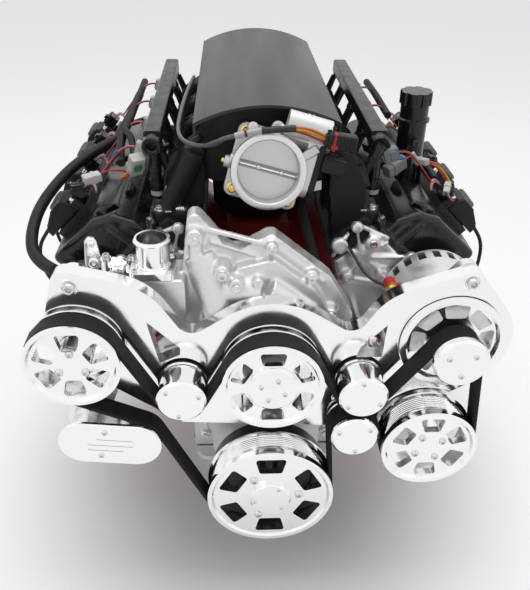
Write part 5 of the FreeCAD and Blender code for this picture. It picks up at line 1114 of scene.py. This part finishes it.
for side, sideName in sides:
    casting("headCasting" + sideName, "cylinder_head_" + sideName.lower(), "castAluminium", head["voxel"],
            headForms(side), 2, 45)
    face = -head["start"]
    setHeads("headFrontBolts" + sideName, "hex", [(at(side * 153.6, face + 8.6, 326.8), front, 6.5),
                                                  (at(side * 214, face + 8.6, 300), front, 5.5),
                                                  (at(side * 120, face + 8.6, 268), front, 5)], seed=13)
    deckSpots = [onBank(side, 76, behind, 258) for behind in deckBolts]
    setHeads("headDeckBolts" + sideName, "hex", [(spot, outOfBank(side), 6) for spot in deckSpots], "darkSteel",
             seed=14)
    detail = bmesh.new()
    lathe(detail, [(0, 0), (8.5, 0), (8.5, 3), (7, 4), (5, 4), (4.4, 2), (0, 2)],
          frameAt(at(side * 105, face + 8.4, 322), front), 28)
    fromBmesh("headPlug" + sideName, detail, "blackNylon")
    studs = bmesh.new()
    for behind in bores(side):
        for shift in head["studShifts"]:
            rod(studs, onBank(side, 83, behind + shift, head["stud"]), onBank(side, 95, behind + shift, head["stud"]),
                4.2, 4.0, 16)
            lathe(studs, [(0, 0), (7, 0), (7, 2), (4.2, 3), (4.2, 4), (0, 4)],
                  frameAt(onBank(side, 84.8, behind + shift, head["stud"]), (side, 0, -1)), 16)
    rod(studs, at(side * 174.5, face + 8, 271.8), at(side * 174.5, face + 24, 271.8), 4.2, 4.0, 16)
    fromBmesh("exhaustStuds" + sideName, studs, "brightSteel")
    gaskets = bmesh.new()
    for behind in bores(side):
        place = frameAt(onBank(side, 84.2, behind, 283), (side, 0, -1), (side, 0, 1))
        loops = [roundedLoop(21, 19, 10, 0), roundedLoop(21, 19, 10, 1.4), roundedLoop(17.2, 15.2, 8, 1.4),
                 roundedLoop(17.2, 15.2, 8, 0), roundedLoop(21, 19, 10, 0)]
        addStack(gaskets, loops, place, False, False)
    fromBmesh("portFrames" + sideName, gaskets, "darkSteel")
print("heads cast")

# Cast plates over the block's front face, either side of the timing cover
frontBolts = ((102, -30), (103, 60), (190, 112), (128, 178))
plates = bmesh.new()
for side in (1, -1):
    outline = [(86, -58), (120, -58), (120, 22), (151, 45), (218, 112), (115, 215), (86, 186)]
    loops = [[(side * (x + (grow if x > 100 else -grow) * 0.7), -forward, z) for x, z in outline]
             for forward, grow in ((-0.5, 0), (5, 0), (6.5, -1.5))]
    addStack(plates, loops, Matrix.Translation(at(0, 0, 0)))
    bar(plates, at(side * 100, 7, -40), at(side * 100, 7, 170), 6, 7, front, 1.5)
    bar(plates, at(side * 100, 7, 60), at(side * 196, 7, 112), 6, 7, front, 1.5)
    bar(plates, at(side * 100, 7, 170), at(side * 160, 7, 150), 6, 7, front, 1.5)
    for x, z in frontBolts:
        rod(plates, at(side * x, 4, z), at(side * x, 13, z), 9.5, 8.5)
fromBmesh("blockFrontPlates", plates, "castAluminium")
setHeads("blockFrontBolts", "hex", [(at(side * x, 12.8, z), front, 5.6) for side in (1, -1)
                                    for x, z in frontBolts], seed=20)

# Alternator: black blocks in the vents as painted shade, and the red output terminal

charger = {"x": 244, "z": 249, "vents": 20, "ventRadius": 59.6, "postX": 168, "postZ": 299}
ventShadeMade = bmesh.new()
for k in range(charger["vents"]):
    angle = 2 * math.pi * k / charger["vents"] + math.pi / 2
    way = Vector((math.cos(angle), 0, math.sin(angle)))
    for forward in (79, 13):
        # a black block in each vent as painted shade in its depth, with two winding ends across its floor
        spot = at(charger["x"] + charger["ventRadius"] * way.x, forward, charger["z"] + charger["ventRadius"] * way.z)
        block(ventShadeMade, 5.3, 8.8, 7.2, 1, frameAt(spot, way, front), 0.3, 2)
        for shift in (-3.6, 3.6):
            block(ventShadeMade, 4.6, 1.1, 8.2, 0.6, frameAt(spot + Vector((0, shift * mm, 0)), way, front), 0.4, 2)
fromBmesh("alternatorWells", ventShadeMade, "blackNylon")


def onPost(forward):
    return at(charger["postX"], forward, charger["postZ"])


terminal = bmesh.new()
rod(terminal, onPost(56), onPost(70), 9, 8.2)
block(terminal, 11, 6.5, 9, 3, frameAt(at(176, 58, 292), (0, -1, 0.2)), 1)
fromBmesh("outputBoot", terminal, "plugRed")
post = bmesh.new()
rod(post, onPost(69), onPost(80), 4, 3.8, 16)
fromBmesh("outputPost", post, "brightSteel")
setHeads("outputNut", "hex", [(onPost(70), front, 5.6)], "goldZinc", seed=15)
tubeAlong("alternatorLead", route((110, 40, 330), (122, -10, 318), (136, -34, 300), (150, -52, 296), (164, -56, 292)),
          2.2, "wireBlack")
print("alternator dressed")

# Compressor: looped fitting, lobed cap and two posts

fitting = bmesh.new()
lobe = [(0, 0, 11, 1), (0, 26, 8.5, 1)]
fittingPlace = frameAt(at(-240, 52, 336), (0.25, -1, 0.15))
addStack(fitting, [discLoop(lobe, 0, -0.8), discLoop(lobe, 0.8, 0), discLoop(lobe, 8, 0), discLoop(lobe, 9, -0.9)],
         fittingPlace)
lathe(fitting, [(3, 9), (6.5, 9), (6.5, 11.5), (5, 12.5), (3, 12.5), (3, 9)], fittingPlace, 32)
lathe(fitting, [(0, 9), (4.6, 9), (4.6, 11), (3.6, 12), (0, 12)], fittingPlace @ slide(0, 26, 0), 24)
capPlace = frameAt(at(-208, 52, 326), (0.1, -0.6, 1))
turns = [2 * math.pi * i / 48 for i in range(48)]
star = [(11.5 + 1.6 * math.cos(6 * a), math.cos(a), math.sin(a)) for a in turns]
addStack(fitting, [[((r + grow) * x, (r + grow) * y, z) for r, x, y in star]
                   for z, grow in ((0, -0.6), (0.8, 0), (7.5, 0), (9, -1.5))], capPlace)
lathe(fitting, [(0, 9), (7, 9), (7, 11), (5.5, 12.4), (0, 12.4)], capPlace, 32)
rod(fitting, at(-224, 44, 318), at(-224, 44, 336), 8, 7)
rod(fitting, at(-192, 44, 314), at(-190, 44, 334), 7, 6)
fromBmesh("compressorFittings", fitting, "polishedBillet")
setHeads("compressorFittingScrews", "socket",
         [(at(-224, 44, 336), (0, 0, 1), 5), (at(-190, 44, 334), (0, 0, 1), 4.4)], seed=16)
print("compressor dressed")

# Block sides: core plugs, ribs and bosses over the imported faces

plugMade, ribMade = bmesh.new(), bmesh.new()
for side in (1, -1):
    for behind in bores(side):
        place = frameAt(onBank(side, 75.6, behind, 196), (side, 0, -1))
        lathe(ribMade, [(16.6, 0), (22.5, 0), (22, 3), (20, 4.4), (18, 4.4), (16.6, 3.4), (16.6, 0)], place, 40)
        lathe(plugMade, [(0, 0), (16.6, 0), (16.6, 3.4), (15.4, 3.4), (14.6, 1.0), (0, 1.0)], place, 40)
    for k in range(5):
        behind = min(max(bank["boreFirst"][side] - 56 + bank["borePitch"] * k, 10), 510)
        bar(ribMade, onBank(side, 76, behind, 138), onBank(side, 76, behind, 233), 9, 7, (0, 1, 0), 1.5)
        bar(ribMade, at(side * 118, -behind, -56), at(side * 118, -behind, 20), 8, 9, (side, 0, 0), 1.5)
        bar(ribMade, at(side * 118, -behind, 20), onBank(side, 76, behind, 138), 8, 9, (0, 1, 0), 1.5)
    bar(ribMade, at(side * 118.5, -8, -54), at(side * 118.5, -512, -54), 8, 9, (0, 0, 1), 2)
    bar(ribMade, onBank(side, 76.5, 8, 229), onBank(side, 76.5, 512, 229), 7, 8, outOfBank(side), 2)
    for behind in (70, 415):
        rod(ribMade, at(side * 112, -behind, -8), at(side * 128, -behind, -8), 15, 12.5)
fromBmesh("blockRibs", ribMade, "redPaint")
fromBmesh("corePlugs", plugMade, "brightSteel")
setHeads("blockSideBolts", "hex", [(at(side * 128, -behind, -8), (side, 0, 0), 7.5) for side in (1, -1)
                                   for behind in (70, 415)], "darkSteel", seed=17)

# Oil pan: rail bolts and cooling ribs

panRow = [(at(side * 107, -behind, -69), (0, 0, -1), 4.6) for side in (1, -1) for behind in range(6, 512, 72)]
setHeads("panBolts", "hex", panRow, seed=18)
panMade = bmesh.new()
for side in (1, -1):
    for k in range(9):
        behind = 60 + k * 48
        bar(panMade, at(side * 97, -behind, -74), at(side * 90, -behind, -180), 4, 7, (0, 1, 0), 1.2)
    bar(panMade, at(side * 97, -40, -100), at(side * 97, -480, -100), 5, 5, (0, 0, 1), 1.2)
fromBmesh("panRibs", panMade, "castAluminium")

# Rear: ring gear teeth and the raised rings of the flexplate

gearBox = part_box("flexplate")
gearRadius = (gearBox[1][0] - gearBox[0][0]) / 2 / mm
gear = bmesh.new()
gearTeeth = 128
for k in range(gearTeeth):
    angle = 2 * math.pi * k / gearTeeth
    way = Vector((math.cos(angle), 0, math.sin(angle)))
    spot = Vector(((gearRadius - 5.5) * way.x, gearBox[1][1] / mm - 4.6, (gearRadius - 5.5) * way.z)) * mm
    block(gear, 2.0, 4.6, 5.6, 0.6, frameAt(spot, way, (0, 1, 0)), 0.4, 1)
fromBmesh("ringGearTeeth", gear, "darkSteel", body="crank")
flexRings = bmesh.new()
for radius in (64, 112):
    lathe(flexRings, [(radius - 2.4, 0), (radius + 2.4, 0), (radius + 1.4, 1.3), (radius - 1.4, 1.3),
                      (radius - 2.4, 0)],
          frameAt(Vector((0, gearBox[0][1] + 3.3 * mm, 0)), (0, 1, 0)), 96)
fromBmesh("flexplateRings", flexRings, "darkSteel", body="crank")
print("rear dressed")


# Valley: a black filler under the manifold, as painted shade in the gap between manifold and block
shadePadMade = bmesh.new()
shadePadSection = [(-50, 180), (-88, 214), (-92, 297), (92, 297), (88, 214), (50, 180)]
for k in range(3):
    prism(shadePadMade, shadePadSection, 400 + k * 36, 400 + k * 36 + 32, Matrix.Translation(at(0, 0, 0)), 4)
prism(shadePadMade, [(-44, 186), (-80, 220), (-84, 290), (84, 290), (80, 220), (44, 186)], 404, 506,
      Matrix.Translation(at(0, 0, 0)), 3)
prism(shadePadMade, [(-58, 288), (-52, 338), (52, 338), (58, 288)], 436, 500, Matrix.Translation(at(0, 0, 0)), 3)
fromBmesh("valleyPad", shadePadMade, "blackNylon")


# Camera, floor, lights and world

camera = {"place": at(-50.3, 851.1, 791.4), "yaw": -3.144, "pitch": 32.744, "roll": 0.984, "lens": 41.0}
yaw, pitch, roll = (math.radians(camera[key]) for key in ("yaw", "pitch", "roll"))
ahead = Vector((-math.sin(yaw) * math.cos(pitch), math.cos(yaw) * math.cos(pitch), -math.sin(pitch)))
level = Vector((math.cos(yaw), math.sin(yaw), 0))
upward = level.cross(ahead)
rightward = math.cos(roll) * level + math.sin(roll) * upward
upward = math.cos(roll) * upward - math.sin(roll) * level
cameraData = bpy.data.cameras.new("photoCamera")
cameraData.lens = camera["lens"]
cameraData.clip_start = 0.05
cameraObject = addObject("photoCamera", cameraData)
cameraObject.matrix_world = Matrix.Translation(camera["place"]) @ Matrix(
    (rightward, upward, -ahead)).transposed().to_4x4()
bpy.context.scene.camera = cameraObject
bpy.context.scene.view_settings.view_transform = "Standard"

# the floor carries a painted glow, faint near the engine and strong far from it; the lifts and edges below set its
# strength and reach
studio = {"floorSize": 14.0, "floorDrop": 0.197, "floorColour": (0.82, 0.82, 0.82, 1), "centre": (0, -0.42, 0),
          "nearPaintedGlow": 0.02, "farPaintedGlow": 0.5, "glowNearEdge": 0.14, "glowFarEdge": 0.56,
          "sky": [(0.5, (0.08, 0.08, 0.085, 1)), (1.0, (0.32, 0.32, 0.33, 1)), (0.62, (0.18, 0.18, 0.185, 1)),
                  (0.75, (0.30, 0.30, 0.31, 1))]}
half = studio["floorSize"] / 2
floorMesh = bpy.data.meshes.new("studioFloor")
floorMesh.from_pydata([(-half, -half, 0), (half, -half, 0), (half, half, 0), (-half, half, 0)], [], [(0, 1, 2, 3)])
floor = addObject("studioFloor", floorMesh)
floor.location.z = -studio["floorDrop"]


def raysThatSee(tree):
    # a node that gives 1 for camera, glossy and transmission rays, and 0 for the rays that light the engine
    rays = addNode(tree, "ShaderNodeLightPath")
    sharp, seen = (addNode(tree, "ShaderNodeMath", operation="MAXIMUM") for _ in range(2))
    for link in ((rays, "Is Camera Ray", sharp, 0), (rays, "Is Glossy Ray", sharp, 1), (sharp, 0, seen, 0),
                 (rays, "Is Transmission Ray", seen, 1)):
        join(*link)
    return seen


# the camera and the metal see the far paper brighter than it lights the engine: a painted glow, faint near the engine
# and strong far from it, stands in for lamp light on the far floor, so that the backdrop is white
paper = bpy.data.materials.new("studioPaper")
paper.use_nodes = True
tree = paper.node_tree
matt = tree.nodes["Principled BSDF"]
for socket, value in (("Base Color", studio["floorColour"]), ("Roughness", 0.9), ("Specular IOR Level", 0.1)):
    matt.inputs[socket].default_value = value
spot = addNode(tree, "ShaderNodeTexCoord")
reach = addNode(tree, "ShaderNodeVectorMath", {1: studio["centre"]}, operation="DISTANCE")
paintedGlowRamp = addNode(tree, "ShaderNodeMapRange", {"From Min": studio["glowNearEdge"], "From Max": studio["glowFarEdge"],
                                            "To Min": studio["nearPaintedGlow"], "To Max": studio["farPaintedGlow"]},
               interpolation_type="SMOOTHSTEP")
# painted glow on the paper for camera, glossy and transmission rays, rising with distance from the engine
paintedGlow = addNode(tree, "ShaderNodeEmission")
both = addNode(tree, "ShaderNodeAddShader")
pick = addNode(tree, "ShaderNodeMixShader")
for link in ((spot, "Object", reach, 0), (reach, "Value", paintedGlowRamp, "Value"), (paintedGlowRamp, "Result", paintedGlow, "Strength"),
             (matt, "BSDF", both, 0), (paintedGlow, "Emission", both, 1), (raysThatSee(tree), 0, pick, 0),
             (matt, "BSDF", pick, 1), (both, "Shader", pick, 2),
             (pick, "Shader", tree.nodes["Material Output"], "Surface")):
    join(*link)
floorMesh.materials.append(paper)

world = bpy.data.worlds.new("studioWorld")
bpy.context.scene.world = world
world.use_nodes = True
sky = world.node_tree
background = sky.nodes["Background"]
background.inputs["Strength"].default_value = 1.0
direction = addNode(sky, "ShaderNodeTexCoord")
split = addNode(sky, "ShaderNodeSeparateXYZ")
lift = addNode(sky, "ShaderNodeMapRange", {"From Min": -1})
bands = addNode(sky, "ShaderNodeValToRGB")
ramp = bands.color_ramp.elements
for index, (position, colour) in enumerate(studio["sky"]):
    step = ramp[index] if index < 2 else ramp.new(position)
    step.position = position
    step.color = colour
shown = addNode(sky, "ShaderNodeMix", data_type="RGBA")
shown.inputs[7].default_value = (1, 1, 1, 1)
for link in ((direction, "Generated", split, "Vector"), (split, "Z", lift, "Value"), (lift, "Result", bands, "Fac"),
             (raysThatSee(sky), 0, shown, 0), (bands, "Color", shown, 6), (shown, 2, background, "Color")):
    join(*link)


def addLamp(name, spot, target, size, power):
    data = bpy.data.lights.new(name, "AREA")
    data.shape = "RECTANGLE"
    data.size, data.size_y = size
    data.energy = power
    lamp = addObject(name, data)
    lamp.location = spot
    lamp.rotation_euler = (Vector(target) - Vector(spot)).to_track_quat("-Z", "Y").to_euler()


centre = (0, -0.35, 0.2)
addLamp("overheadLamp", (0.0, 0.0, 2.6), centre, (2.6, 2.2), 28)
addLamp("keyLamp", (-1.9, -2.2, 2.1), centre, (1.8, 1.8), 4)
addLamp("fillLamp", (2.2, -1.6, 1.6), centre, (1.8, 1.8), 2)
print("camera and lamps set")
